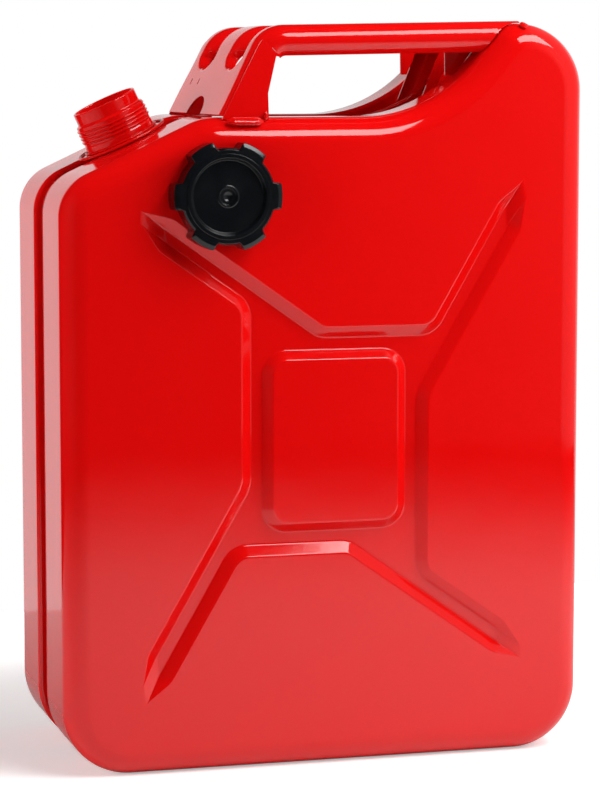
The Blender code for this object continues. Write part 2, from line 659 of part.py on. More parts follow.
def handle_mesh():
    """The pressing: plate and bars flat in (u, y), edges turned in, then bent along its side view."""
    leg = leg_to_floor(0, 0)[0] + GROOVE_BEND
    leg_start = bar_at(LEG_BEND_X)
    leg_turn = LEG_TURN + BAR_SLOPE
    leg_end = leg_start + LEG_BEND * leg_turn + leg
    bar_end = bar_at(BAR_END_X)
    outer_path = [(PLATE_LENGTH, 0), (BEND_LENGTH, BEND_TURN), (1, 0)]
    leg_path = outer_path[:2] + [(leg_start - BAR_START, 0), (LEG_BEND * leg_turn, leg_turn), (leg, 0)]
    slot_round = SLOT_HALF + PRESSED_EDGE
    slot_centre = SLOT_HEIGHT + SLOT_HALF
    flat_half = HANDLE_HALF_WIDTH - PRESSED_EDGE

    def slot_arc(y, start, end):
        angles = [start + (end - start) * k / 8 for k in range(9)]
        return [(slot_centre + slot_round * math.cos(a), y + slot_round * math.sin(a)) for a in angles]

    arch_angles = [math.pi * k / 6 for k in range(7)]
    arch = [(PLATE_ARCH_HEIGHT * math.sin(a), -PLATE_ARCH_HALF * math.cos(a)) for a in arch_angles]
    quarter = math.pi / 2
    outline = [(0, -flat_half), *arch, (0, flat_half), (bar_end, flat_half), (bar_end, SLOT_Y + slot_round)]
    outline += slot_arc(SLOT_Y, quarter, 3 * quarter)
    outline += [(leg_end, SLOT_Y - slot_round), (leg_end, slot_round - SLOT_Y)]
    outline += slot_arc(-SLOT_Y, quarter, 3 * quarter)
    outline += [(bar_end, -SLOT_Y - slot_round), (bar_end, -flat_half)]
    bm = bmesh.new()
    verts = [bm.verts.new((u, y, 0)) for u, y in outline]
    bmesh.ops.triangle_fill(bm, edges=edges_of(bm, verts), use_beauty=True, normal=(0, 0, 1))
    stations = [NOTCH_AT + (BAR_START - NOTCH_AT) * k / 3 for k in range(4)]
    taper_start = leg_start - LEG_TAPER
    tab_start = bar_at(SWEEP_X + TAB_START)
    stations += [PLATE_LENGTH, SLOT_HEIGHT - PRESSED_EDGE, slot_centre, tab_start, taper_start]
    stations += [leg_start + LEG_BEND * leg_turn * k / 6 for k in range(7)]
    for u in stations:
        geometry = bm.verts[:] + bm.edges[:] + bm.faces[:]
        bmesh.ops.bisect_plane(bm, geom=geometry, plane_co=(u, 0, 0), plane_no=(1, 0, 0), dist=0.00001)

    def outward(vert):
        """Direction in (u, y) from a boundary vertex to the middle of its slot or off the side."""
        u, y = vert.co.x, vert.co.y
        side = math.copysign(1, y)
        if abs(y) > flat_half - FIT:
            return Vector((0, side))
        if u < slot_centre:
            return (Vector((slot_centre, side * SLOT_Y)) - Vector((u, y))).normalized()
        return Vector((0, math.copysign(1, side * SLOT_Y - y)))

    def wall_depth(u, y, tab):
        """Depth of the turned-in wall, which differs between plate, bars and leg."""
        if abs(y) > flat_half - FIT:
            return BAR_DEPTH
        middle = abs(y) < SLOT_Y
        if u <= slot_centre:
            return SLOT_LIP
        if u < BAR_START:
            return SLOT_LIP + (BAR_DEPTH - SLOT_LIP) * (u - slot_centre) / (BAR_START - slot_centre)
        if middle and u > taper_start:
            share = min(1, (u - taper_start) / LEG_TAPER)
            return BAR_DEPTH + (LEG_LIP - BAR_DEPTH) * share
        return TAB_DEPTH if tab and not middle else BAR_DEPTH

    def turned_in(edge):
        """True for the edges that get a wall: the sides and the slots, not the foot or the bars' ends."""
        if len(edge.link_faces) != 1:
            return False
        a, b = edge.verts
        low = max(a.co.x, b.co.x) < PLATE_ARCH_HEIGHT + NEAR
        along_side = abs(a.co.y - b.co.y) < NEAR
        across = abs(a.co.x - b.co.x) < NEAR
        return not across and (along_side or not low)

    walls = [edge for edge in bm.edges if turned_in(edge)]
    rings = {}
    for edge in walls:
        for vert in edge.verts:
            if vert not in rings:
                way = outward(vert)
                ring = [vert]
                for k in (1, 2, 3):
                    angle = quarter * k / 3
                    out = way * PRESSED_EDGE * math.sin(angle)
                    depth = PRESSED_EDGE * (1 - math.cos(angle))
                    ring.append(bm.verts.new((vert.co.x + out.x, vert.co.y + out.y, -depth)))
                for tab in (False, True):
                    deep = wall_depth(vert.co.x, vert.co.y, tab)
                    ring.append(bm.verts.new((ring[3].co.x, ring[3].co.y, -deep)))
                rings[vert] = ring
    for edge in walls:
        face = edge.link_faces[0]
        loop = next(loop for loop in face.loops if loop.edge == edge)
        a, b = loop.link_loop_next.vert, loop.vert
        for k in range(3):
            bm.faces.new((rings[a][k], rings[a][k + 1], rings[b][k + 1], rings[b][k])).normal_update()
        side = abs(a.co.y) > flat_half - FIT
        if side and min(a.co.x, b.co.x) < NOTCH_AT - NEAR:
            continue
        beyond = min(a.co.x, b.co.x) > tab_start - NEAR
        bottom = 5 if beyond and not side and abs(a.co.y) > SLOT_Y else 4
        bm.faces.new((rings[a][3], rings[a][bottom], rings[b][bottom], rings[b][3]))
    bmesh.ops.delete(bm, geom=[v for v in bm.verts if not v.link_faces], context="VERTS")
    for vert in bm.verts:
        u, y, depth = vert.co.x, vert.co.y, -vert.co.z
        point, normal = along_path(leg_path if abs(y) < SLOT_Y and u > slot_centre else outer_path, u)
        place = point - normal * depth
        vert.co = (place.x, y, place.y)
    bmesh.ops.recalc_face_normals(bm, faces=bm.faces)
    bm.faces.ensure_lookup_table()
    top = max(bm.faces, key=lambda face: abs(face.normal.z) * face.calc_area())
    if top.normal.z < 0:
        bmesh.ops.reverse_faces(bm, faces=bm.faces)
    return bm


def sweep_cutter(name, height, spans, root, cutters):
    """Trims the handle to the sweep and the hump, moved out by height, over the given spans of Y."""
    bm = bmesh.new()
    near, far = SWEEP_X - SWEEP_RADIUS / 2, BAR_END_X + HUMP_START_RADIUS
    top = [p + n * height for p, n in can_outline() if p.y > TOP_HEIGHT - MM and near < p.x < far]
    bottom = TOP_HEIGHT - 3 * GROOVE_DEPTH
    for span in spans:
        loops = []
        for y in span:
            loop = [bm.verts.new((p.x, y, p.y)) for p in top]
            loop.append(bm.verts.new((top[-1].x, y, bottom)))
            loop.append(bm.verts.new((top[0].x, y, bottom)))
            bm.faces.new(loop)
            loops.append(loop)
        strip(bm, loops[0] + loops[0][:1], loops[1] + loops[1][:1])
    return as_cutter(name, bm, root, cutters)


def make_handle(root, parts, cutters):
    handle = finish("handle_pressing", handle_mesh(), ENAMEL, root, parts)
    thicken(handle, HANDLE_SHEET)
    bars = (TROUGH_HALF + LIP_RADIUS, HALF_DEPTH + EDGE_RADIUS)
    sides = (bars, (-bars[1], -bars[0]))
    cut(handle, sweep_cutter("bar_end_cutter", FIT, sides, root, cutters))
    floor = TROUGH_HALF - 2 * GROOVE_BEND
    cut(handle, sweep_cutter("leg_foot_cutter", FIT - GROOVE_DEPTH, ((-floor, floor),), root, cutters))
    slit = FLANGE_Y + GROOVE_BEND + FIT
    over_bead = FLANGE_TOP + 2 * SEAM_BEAD + 3 * FIT
    cut(handle, sweep_cutter("leg_slit_cutter", over_bead, ((-slit, slit),), root, cutters))

    centre = Vector((BEND_CENTRE_X, BEND_CENTRE_Z))
    inner = HANDLE_HALF_WIDTH + FIT
    across = inner - HALF_DEPTH + EDGE_RADIUS
    bottom = TOP_HEIGHT - EDGE_RADIUS + math.sqrt((EDGE_RADIUS + FIT) ** 2 - across**2)
    radius = PLATE_BEND - GUSSET_INSET
    slope = Vector((math.cos(PLATE_ANGLE), math.sin(PLATE_ANGLE)))
    first = centre + left_of(slope) * radius
    foot = first - slope * (first.y - bottom) / slope.y
    angles = [PLATE_ANGLE + (GUSSET_TOP - PLATE_ANGLE) * k / 3 for k in range(4)]
    outline = [foot] + [centre + Vector((-math.sin(a), math.cos(a))) * radius for a in angles]
    outline.append(centre + Vector((-math.sin(GUSSET_TOP), math.cos(GUSSET_TOP))) * GUSSET_NOSE_RADIUS)
    outline.append(centre + Vector((-GUSSET_CHIN[0], GUSSET_CHIN[1])))
    outline.append(Vector((PLATE_FOOT_X + GUSSET_WAIST[0], TOP_HEIGHT + GUSSET_WAIST[1])))
    outline.append(Vector((PLATE_FOOT_X + GUSSET_FOOT, bottom)))
    for name, side in (("front_gusset", -1), ("rear_gusset", 1)):
        bm = bmesh.new()
        loops = []
        for y in (inner + HANDLE_SHEET, inner):
            loop = [bm.verts.new((p.x, side * y, p.y)) for p in outline]
            bm.faces.new(loop)
            loops.append(loop)
        strip(bm, loops[0] + loops[0][:1], loops[1] + loops[1][:1])
        bmesh.ops.recalc_face_normals(bm, faces=bm.faces)
        finish(name, bm, ENAMEL, root, parts)


def blob(name, size, place, turn, root, parts):
    """A weld run as a rounded pillow."""
    bm = bmesh.new()
    bmesh.ops.create_uvsphere(bm, u_segments=WELD_SIDES[0], v_segments=WELD_SIDES[1], radius=1)
    bm.transform(Matrix.Diagonal((*size, 1)))
    made = finish(name, bm, WELD_ENAMEL, root, parts)
    made.matrix_local = Matrix.Translation(place) @ Matrix.Rotation(turn, 4, "X")


def edge_blob(name, size, x, top, turn, side, root, parts):
    """A weld run lying on the shells' edge rounding, turned down from the top by an angle."""
    out = EDGE_RADIUS + FIT + size[1]
    y = HALF_DEPTH - EDGE_RADIUS + out * math.sin(turn)
    z = top - EDGE_RADIUS + out * math.cos(turn)
    blob(name, size, (x, side * y, z), side * (math.pi / 2 - turn), root, parts)


def make_handle_welds(root, parts):
    off = FIT + LEG_WELD
    length, start = leg_to_floor(off, off)
    foot = start + leg_way() * length
    for name, side in (("front", -1), ("rear", 1)):
        x = PLATE_FOOT_X + FOOT_WELD_AT
        edge_blob(name + "_foot_weld", FOOT_WELD, x, TOP_HEIGHT, FOOT_WELD_TURN, side, root, parts)
        x = BAR_END_X + FIT + BAR_WELD[0]
        edge_blob(name + "_bar_end_weld", BAR_WELD, x, HUMP_HEIGHT, BAR_WELD_TURN, side, root, parts)
        x = PLATE_FOOT_X + GUSSET_FOOT - EDGE_WELD_AT
        y = HANDLE_HALF_WIDTH + HANDLE_SHEET + 2 * FIT + EDGE_WELD[1]
        across = y - EDGE_WELD[1] / 2 - HALF_DEPTH + EDGE_RADIUS
        z = TOP_HEIGHT - EDGE_RADIUS + math.sqrt((EDGE_RADIUS + FIT) ** 2 - across**2) + EDGE_WELD[2]
        blob(name + "_edge_weld", EDGE_WELD, (x, side * y, z), 0, root, parts)
        points = [(foot.x, side * y, foot.y) for y in LEG_WELD_SPAN]
        tube(name + "_leg_weld", points, LEG_WELD, WELD_ENAMEL, root, parts)


def cap_angles():
    """Directions round the cap: two each side of a lug, at its foot and its crown, and one between lugs."""
    angles = []
    for k in range(LUG_COUNT):
        middle = 2 * math.pi * k / LUG_COUNT
        half = LUG_HALF_ANGLE
        between = middle + math.pi / LUG_COUNT
        for angle, lug in ((-half, 0), (-0.75 * half, 1), (0, 1), (0.75 * half, 1), (half, 0)):
            angles.append((middle + angle, lug))
        angles.append((between, 0))
    return angles


def make_cap(root, parts):
    """The cap in its own frame: Z is its axis and points away from the can, Z = 0 is its open rim."""
    axis = bpy.data.objects.new("cap_axis", None)
    parts.objects.link(axis)
    axis.parent = root
    place = Vector((CAP_PLACE[0] - HALF_WIDTH, -HALF_DEPTH - FIT, TOP_HEIGHT - CAP_PLACE[1]))
    axis.matrix_local = Matrix.Translation(place) @ Matrix.Rotation(math.pi / 2, 4, "X")
    disc = CAP_HEIGHT - DISC_DEPTH
    ceiling = disc - CAP_TOP_THICKNESS
    pocket = MAGNET_RADIUS + FIT
    chamfer = CAP_CHAMFER
    rim = DISC_RADIUS + DISC_DEPTH / 2
    profile = [
        (DIMPLE_RADIUS - chamfer, disc - DIMPLE_DEPTH, 0),
        (DIMPLE_RADIUS, disc, 0),
        (DISC_RADIUS, disc, 0),
        (rim, CAP_HEIGHT, 0),
        (rim + RIM_LAND, CAP_HEIGHT, 0),
        (CAP_RADIUS, CAP_HEIGHT - chamfer, 1),
        (CAP_RADIUS, chamfer, 1),
        (CAP_RADIUS - chamfer, 0, 1),
        (CAP_BORE, 0, 0),
        (CAP_BORE, ceiling, 0),
        (BOSS_RADIUS, ceiling, 0),
        (BOSS_RADIUS, 0, 0),
        (pocket, 0, 0),
        (pocket, MAGNET_HEIGHT + FIT, 0),
    ]
    bm = bmesh.new()
    rings = []
    for radius, height, outer in profile:
        ring = []
        for angle, lug in cap_angles():
            out = radius + (LUG_RADIUS - CAP_RADIUS) * lug * outer
            ring.append(bm.verts.new((out * math.cos(angle), out * math.sin(angle), height)))
        rings.append(ring)
    for upper, lower in zip(rings, rings[1:]):
        strip(bm, upper + upper[:1], lower + lower[:1])
    for ring, height in ((rings[0], disc - DIMPLE_DEPTH), (rings[-1], MAGNET_HEIGHT + FIT)):
        centre = bm.verts.new((0, 0, height))
        strip(bm, ring + ring[:1], [centre] * (len(ring) + 1))
    bmesh.ops.recalc_face_normals(bm, faces=bm.faces)
    finish("cap_body", bm, CAP_PLASTIC, axis, parts)

    outer = CAP_BORE - FIT
    top = ceiling - FIT
    bm = bmesh.new()
    section = ((outer, top), (outer, top - GASKET_HEIGHT), (outer - GASKET_WIDTH, top - GASKET_HEIGHT))
    section += ((outer - GASKET_WIDTH, top),)
    edges_of(bm, [bm.verts.new((r, 0, h)) for r, h in section])
    gasket = finish("cap_gasket", bm, RUBBER, axis, parts)
    screw = gasket.modifiers.new("turn", "SCREW")
    screw.steps = TURNED_SIDES
    screw.render_steps = TURNED_SIDES
    screw.merge_threshold = 0.00001

    bm = bmesh.new()
    drum(bm, MAGNET_RADIUS, MAGNET_HEIGHT, TURNED_SIDES)
    bm.transform(Matrix.Translation((0, 0, MAGNET_HEIGHT / 2)))
    finish("cap_magnet", bm, MAGNET_METAL, axis, parts)


def main():
    clear_scene()
    parts = new_collection("fuel_can")
    cutters = new_collection("fuel_can_cutters")
    root = bpy.data.objects.new("can_frame", None)
    parts.objects.link(root)
    root.location = (0, BODY_Y, 0)
    make_shells(root, parts, cutters)
    make_seam_bead(root, parts)
    make_neck(root, parts)
    make_handle(root, parts, cutters)
    make_handle_welds(root, parts)
    make_cap(root, parts)


main()
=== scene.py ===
"""Finished look of the pressed-steel fuel can: its skins, welds, thread, cap, finishes, light and camera.

Sizes are the same as in the part's source, in metres. The can stands on the floor with its neck at -X,
and the cap is stowed on the front face, which looks along -Y.
"""

import math

import bmesh
import bpy
from mathutils import Matrix, Vector


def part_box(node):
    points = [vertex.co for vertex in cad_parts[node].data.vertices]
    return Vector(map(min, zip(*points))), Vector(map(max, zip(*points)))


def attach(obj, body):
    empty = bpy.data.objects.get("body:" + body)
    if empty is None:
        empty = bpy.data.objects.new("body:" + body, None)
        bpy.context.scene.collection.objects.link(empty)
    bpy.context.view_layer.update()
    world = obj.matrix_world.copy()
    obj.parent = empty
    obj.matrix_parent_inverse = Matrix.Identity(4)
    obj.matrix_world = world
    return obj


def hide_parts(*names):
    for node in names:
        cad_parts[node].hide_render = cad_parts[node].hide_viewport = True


MM = 0.001
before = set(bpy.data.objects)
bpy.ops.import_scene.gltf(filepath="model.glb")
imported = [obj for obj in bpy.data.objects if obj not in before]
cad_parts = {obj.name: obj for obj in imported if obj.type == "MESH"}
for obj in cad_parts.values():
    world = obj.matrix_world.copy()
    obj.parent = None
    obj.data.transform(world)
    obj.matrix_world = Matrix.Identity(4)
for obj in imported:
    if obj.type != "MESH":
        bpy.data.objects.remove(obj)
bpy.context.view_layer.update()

# Sheet, fits and how finely arcs are divided
SHEET = 1.0 * MM
FIT = 0.3 * MM
ARC_STEP = math.radians(4)
ROUND_SIDES = 128  # faces round the neck, the saddle and the hole under it
RING_SIDES = 96  # points round a ring of weld, the magnet and the table
QUARTER = math.pi / 2
SHEET_CREASE = 32  # degrees between faces from which sheet metal shows a crease
CAP_CREASE = 40
THREAD_CREASE = 50
SNAP = MM / 50  # places nearer to each other than this count as one

# Outline of both shells, seen from the front
HALF_WIDTH = 172.5 * MM
HALF_DEPTH = 82.5 * MM
TOP_HEIGHT = 417 * MM
HUMP_HEIGHT = TOP_HEIGHT + 59.3 * MM
BOTTOM_RADIUS = 43 * MM
HUMP_RADIUS = 43 * MM
SHOULDER_RADIUS = 30 * MM
SHOULDER_SLOPE = math.radians(25)
SHOULDER_END_X = 92.1 * MM - HALF_WIDTH
SHOULDER_END_RADIUS = 40 * MM
SHOULDER_START_Z = TOP_HEIGHT - (SHOULDER_END_X + HALF_WIDTH) * math.tan(SHOULDER_SLOPE)
SWEEP_SLOPE = math.radians(52)
SWEEP_RADIUS = 100 * MM
HUMP_START_X = HALF_WIDTH - 53 * MM
HUMP_START_RADIUS = 20 * MM
SWEEP_X = HUMP_START_X - (HUMP_HEIGHT - TOP_HEIGHT) / math.tan(SWEEP_SLOPE)

# Edge of a shell and the groove between the two
EDGE_RADIUS = 16.5 * MM
EDGE_STEPS = 14
LIP_RADIUS = 3 * MM
LIP_STEPS = 7
GROOVE_DEPTH = 12 * MM
GROOVE_BEND = 2 * MM
BEND_STEPS = 5
GROOVE_HALF = 13.75 * MM
NECK_GROOVE_HALF = 20 * MM
TROUGH_HALF = 38 * MM
PLATE_FOOT_X = 102.9 * MM - HALF_WIDTH
WIDENING_X = (PLATE_FOOT_X + 2.6 * MM, PLATE_FOOT_X + 23.6 * MM)
NARROWING_X = (HALF_WIDTH - 66.5 * MM, HALF_WIDTH - 30.5 * MM)
WIDENING_STEPS = 10
FLANGE_Y = FIT / 2 + SHEET
FLANGE_TOP = 6 * MM - GROOVE_DEPTH
SEAM_BEAD = 1.6 * MM

# Crossed pressing in the wide faces
PRESS_X = 3.5 * MM
PRESS_Z = TOP_HEIGHT / 2 + 2.7 * MM
PRESS_DEPTH = 5.5 * MM
PRESS_WALL = 7 * MM
PRESS_FILLET = 2.4 * MM  # rounding at the top and the foot of its sloping wall
FLOOR_HALF_WIDTH = 55 * MM
FLOOR_HALF_HEIGHT = 65.8 * MM
FLOOR_RIM = 7.4 * MM
ISLAND_WALL = 6.2 * MM
ISLAND_RADIUS = 16 * MM
SHALLOW_ANGLE = math.radians(35.3)
SHALLOW_CORNER = -10.2 * MM
SHALLOW_FLOOR = 6.8 * MM
SHALLOW_TIP = 127.5 * MM
STEEP_ANGLE = math.radians(59.8)
STEEP_CORNER = 67.5 * MM
STEEP_FLOOR = 7.9 * MM
STEEP_TIP = 125.5 * MM
TIP_LENGTH = 11.5 * MM
RAMP = 23 * MM
RAMP_STEPS = 12
RAMP_EASE = 0.2  # share of the ramp over which it bends out of the floor, and into the face
FLOOR_RADIUS = 18 * MM
SIDE_RADIUS = 26 * MM

# Filler neck and the saddle under it
NECK_FOOT_X = 55.7 * MM - HALF_WIDTH
NECK_FOOT_Z = TOP_HEIGHT - (SHOULDER_END_X - NECK_FOOT_X) * math.tan(SHOULDER_SLOPE)
NECK_HEIGHT = 29.1 * MM
NECK_RADIUS = 21.4 * MM  # at the mouth
NECK_FOOT_RADIUS = 23.4 * MM  # from the thread down
NECK_WALL = 1.6 * MM
NECK_BORE = NECK_RADIUS - NECK_WALL
THREAD_RADIUS = 23.9 * MM
THREAD_ROOT = 23.1 * MM
THREAD_SPAN = (7.5 * MM, 20 * MM)
THREAD_PITCH = 2.5 * MM
THREAD_RUN_OUT = 1 * MM
NECK_HOLE_RADIUS = 21 * MM
SADDLE_LENGTH = 28 * MM
SADDLE_WIDTH = 27 * MM
SADDLE_RISE = 0.4 * MM
SADDLE_STEPS = 12
SADDLE_DOME = (0.12, 0.58)  # even and eased share of its rise towards the neck
SADDLE_TOP = FIT + SHEET + SADDLE_RISE
NECK_BEAD = 0.8 * MM
SADDLE_BEAD = 1.2 * MM

# Handle pressing and its two side gussets
HANDLE_SHEET = 1.5 * MM
HANDLE_HALF_WIDTH = 73 * MM
BAR_DEPTH = 19.6 * MM
PLATE_ANGLE = math.radians(62.7)
PLATE_BEND = 25 * MM
PRESSED_EDGE = 5 * MM
HANDLE_STEPS = (18, 4, 28, 5)  # along the bend, the flat bars, the leg and its taper
ROLL_STEPS = 6  # faces over a quarter of a turned-in edge
BAR_ROLL = 10.2 * MM  # radius of the bars' outer sides, which are rolled under
ROLL_TURN = math.radians(150)
ROLL_START = 16 * MM  # up the end plate, where its edges begin to widen into the bars' rounding
SLOT_ROLL = (4.5 * MM, 10.5 * MM)  # rounding at the slots' lower ends, and along the bars
SLOT_BOW = 27.5 * MM  # radius of the bend line round the slots' lower ends
SLOT_STEPS = (16, 12)  # along half of that bow, and on from it to the straight side
SLOT_TURN_STEPS = 8  # of the second, until the bend line points along the bars
LEG_EDGE = 7 * MM
SLOT_Y = 36 * MM
SLOT_HALF = 10.5 * MM
SLOT_HEIGHT = 34 * MM
SLOT_LIP = 1 * MM  # height of the upright wall under the rounding, at the slots' lower ends
PLATE_ARCH_HALF = 19 * MM
PLATE_ARCH_HEIGHT = 12.6 * MM
ARCH_STEPS = 32
SLIT = (1.8 * MM, 3.8 * MM)  # two small slits in the end plate: width and height
SLIT_Y = (28 * MM, 48 * MM)
SLIT_HEIGHT = 22 * MM  # above the flat top
NOTCH_ANGLE = math.radians(45.5)
BAR_TOP = HUMP_HEIGHT + FIT + HANDLE_SHEET  # at the bars' ends
BAR_SLOPE = math.radians(1.1)  # the bars rise a little towards the hump
BAR_END_X = HUMP_START_X + 11.5 * MM
LEG_BEND_X = SWEEP_X + 10.8 * MM
LEG_BEND = 16 * MM
LEG_TURN = math.radians(112)
LEG_LIP = 9 * MM
LEG_TAPER = 20.5 * MM
TAB_START_X = SWEEP_X + 13.3 * MM
TAB_DEPTH = 34 * MM
GUSSET_FOOT = 31.1 * MM
GUSSET_WAIST = (30.6 * MM, 15 * MM)
GUSSET_NOSE_RADIUS = 7 * MM
GUSSET_TOP = math.radians(48.5)  # where it ends short of the bars' side wall
GUSSET_CHIN = (8.5 * MM, 5 * MM)  # before and above the middle of the bend
GUSSET_INSET = 1.8 * MM
GUSSET_STEPS = 8
PLATE_FOOT_Z = TOP_HEIGHT + 3 * FIT + HANDLE_SHEET * math.cos(PLATE_ANGLE)
BEND_TURN = PLATE_ANGLE - BAR_SLOPE
PLATE_REACH = (
    (BAR_TOP - PLATE_FOOT_Z) * math.cos(BAR_SLOPE) - (BAR_END_X - PLATE_FOOT_X) * math.sin(BAR_SLOPE)
) / math.sin(BEND_TURN)
PLATE_LENGTH = PLATE_REACH - PLATE_BEND * math.tan(BEND_TURN / 2)
BEND_CENTRE_X = PLATE_FOOT_X + PLATE_LENGTH * math.cos(PLATE_ANGLE) + PLATE_BEND * math.sin(PLATE_ANGLE)
BEND_CENTRE_Z = PLATE_FOOT_Z + PLATE_LENGTH * math.sin(PLATE_ANGLE) - PLATE_BEND * math.cos(PLATE_ANGLE)
BEND_LENGTH = PLATE_BEND * BEND_TURN
BAR_START = PLATE_LENGTH + BEND_LENGTH
NOTCH_AT = PLATE_LENGTH + PLATE_BEND * (PLATE_ANGLE - NOTCH_ANGLE)

# Weld runs at the handle: half length, half thickness and half height
FOOT_WELD = (13 * MM, 2.2 * MM, 3.6 * MM)
FOOT_WELD_AT = 14.6 * MM
FOOT_WELD_TURN = math.radians(43)
EDGE_WELD = (1.5 * MM, 1.2 * MM, 3.6 * MM)
EDGE_WELD_AT = 2.5 * MM
BAR_WELD = (3.2 * MM, 1.1 * MM, 4.5 * MM)
BAR_WELD_TURN = math.radians(30)
LEG_WELD = 1.6 * MM
LEG_WELD_SPAN = (5 * MM, 18 * MM)

# Screw cap
CAP_PLACE = (101.5 * MM, 48.6 * MM)
CAP_HEIGHT = 18 * MM
CAP_RADIUS = 30.2 * MM
LUG_RADIUS = 34.8 * MM
LUG_COUNT = 6
LUG_HALF_ANGLE = math.radians(17)
LUG_FLANK = math.radians(4)
CAP_SIDES = 240
CAP_TOP_THICKNESS = 2.8 * MM
DISC_RADIUS = 22.6 * MM
DISC_DEPTH = 3 * MM
RIM_OUTER = 27.1 * MM
DIMPLE_RADIUS = 6.2 * MM
PIT_RADIUS = 3 * MM
CAP_BORE = THREAD_RADIUS + 0.5 * MM
BOSS_RADIUS = 8 * MM
MAGNET_RADIUS = 6 * MM
MAGNET_HEIGHT = 4 * MM
GASKET_WIDTH = 4.4 * MM
GASKET_HEIGHT = 2.2 * MM

# The middle plane of the can lies behind the origin, because the cap stands in front of it
LOW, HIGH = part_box("seam_weld_bead")
BODY_Y = (LOW[1] + HIGH[1]) / 2
IN_CAN = Matrix.Translation((0, BODY_Y, 0))


# Finishes


def linear(code):
    """Turns an sRGB hex colour into the linear one that the shaders use."""
    parts = [int(code[k : k + 2], 16) / 255 for k in (0, 2, 4)]
    return (*[c / 12.92 if c <= 0.04045 else ((c + 0.055) / 1.055) ** 2.4 for c in parts], 1)


def join(made, links):
    """Sets a node's inputs, by name or number, or links them to a socket or to a node's first output."""
    for name, value in links.items():
        if isinstance(value, bpy.types.Node):
            value = value.outputs[0]
        if isinstance(value, bpy.types.NodeSocket):
            made.id_data.links.new(value, made.inputs[name])
        else:
            made.inputs[name].default_value = value


def add(tree, kind, links=None, **settings):
    """Adds a node with its settings and links."""
    made = tree.nodes.new(kind)
    for name, value in settings.items():
        setattr(made, name, value)
    join(made, links or {})
    return made


def new_finish(name):
    """A new material, with the place on the object, in metres, as its only coordinates."""
    made = bpy.data.materials.new(name)
    made.use_nodes = True
    tree = made.node_tree
    return made, tree, tree.nodes["Principled BSDF"], add(tree, "ShaderNodeTexCoord").outputs["Object"]


def per_metre(millimetres):
    """The noise scale whose features are this large."""
    return 1 / (millimetres * MM)


def two_tone(shader, pattern, tones, roughness=None, share=None, **rest):
    """Blends two tones, and two roughnesses if given, by a pattern, and sets the shader's other inputs."""
    tree = shader.id_data
    mix = {"Factor": pattern if share is None else share, 6: linear(tones[0]), 7: linear(tones[1])}
    rest["Base Color"] = add(tree, "ShaderNodeMix", mix, data_type="RGBA").outputs[2]
    if roughness:
        spread = {"Value": pattern, 1: 0.3, 2: 0.7, 3: roughness[0], 4: roughness[1]}
        rest["Roughness"] = add(tree, "ShaderNodeMapRange", spread)
    join(shader, rest)


def gloss_powder_coat(name, tones, peel, roughness):
    """Gloss powder-coat enamel, sprayed and baked on pressed steel.

    The eye sees one strong red with a clear gloss. Its reflections have slightly wandering edges, because
    the baked film keeps the orange peel of its powder, and the sheet under it isn't perfectly flat.
    """
    made, tree, shader, place = new_finish(name)
    # Real powder-coat peel is 1 to 3 mm across. The finer grit only breaks up the highlights.
    cloud, sheet_wave, orange_peel, grit = [
        add(tree, "ShaderNodeTexNoise", {"Vector": place, "Scale": per_metre(size), "Detail": detail})
        for size, detail in ((70, 2), (38, 1), (2.6, 2), (0.9, 1))
    ]
    share = add(tree, "ShaderNodeMath", {0: cloud, 1: grit, 2: 0.25}, operation="MULTIPLY_ADD")
    relief = {}
    for height, depth in ((sheet_wave, 0.12), (orange_peel, peel), (grit, peel / 9)):
        layer = {"Height": height, "Distance": depth * MM, **relief}
        relief = {"Normal": add(tree, "ShaderNodeBump", layer)}
    two_tone(shader, cloud, tones, roughness, share, IOR=1.52, **relief)
    return made


def moulded_polypropylene():
    """Black polypropylene, injection moulded.

    The eye sees a near-black with a faint grey bloom, a satin shine, and the fine mould texture that
    softens it.
    """
    made, tree, shader, place = new_finish("moulded_black_polypropylene")
    bloom = add(tree, "ShaderNodeTexNoise", {"Vector": place, "Scale": per_metre(14), "Detail": 3})
    # The eroded mould leaves grains of about 0.1 mm. They are drawn at 0.5 mm, so that the render shows them.
    grain = add(tree, "ShaderNodeTexVoronoi", {"Vector": place, "Scale": per_metre(0.5)})
    skin = add(tree, "ShaderNodeBump", {"Height": grain, "Distance": 0.02 * MM, "Strength": 0.6})
    two_tone(shader, bloom, ("07090C", "0E1013"), (0.16, 0.24), IOR=1.49, Normal=skin)
    return made


def nitrile_rubber():
    """Nitrile rubber, cut from sheet: matt charcoal with a little talc left in its pores."""
    made, tree, shader, place = new_finish("cut_nitrile_rubber")
    talc = add(tree, "ShaderNodeTexNoise", {"Vector": place, "Scale": per_metre(3), "Detail": 4})
    pores = add(tree, "ShaderNodeTexNoise", {"Vector": place, "Scale": per_metre(0.6), "Detail": 2})
    skin = add(tree, "ShaderNodeBump", {"Height": pores, "Distance": 0.05 * MM})
    two_tone(shader, talc, ("1B1B1C", "3A3938"), Roughness=0.75, Normal=skin)
    return made


def nickel_plate():
    """Nickel plated on a sintered magnet: warm grey metal, fine turning marks, a few dull patches."""
    made, tree, shader, place = new_finish("barrel_plated_nickel")
    patch = add(tree, "ShaderNodeTexNoise", {"Vector": place, "Scale": per_metre(4), "Detail": 3})
    drawn = add(tree, "ShaderNodeVectorMath", {0: place, 1: (1, 0.1, 1)}, operation="MULTIPLY")
    scratch = add(tree, "ShaderNodeTexNoise", {"Vector": drawn, "Scale": per_metre(0.4), "Detail": 2})
    skin = add(tree, "ShaderNodeBump", {"Height": scratch, "Distance": 0.01 * MM})
    two_tone(shader, patch, ("A9A498", "C2BDB2"), (0.22, 0.4), Metallic=1, Normal=skin)
    return made


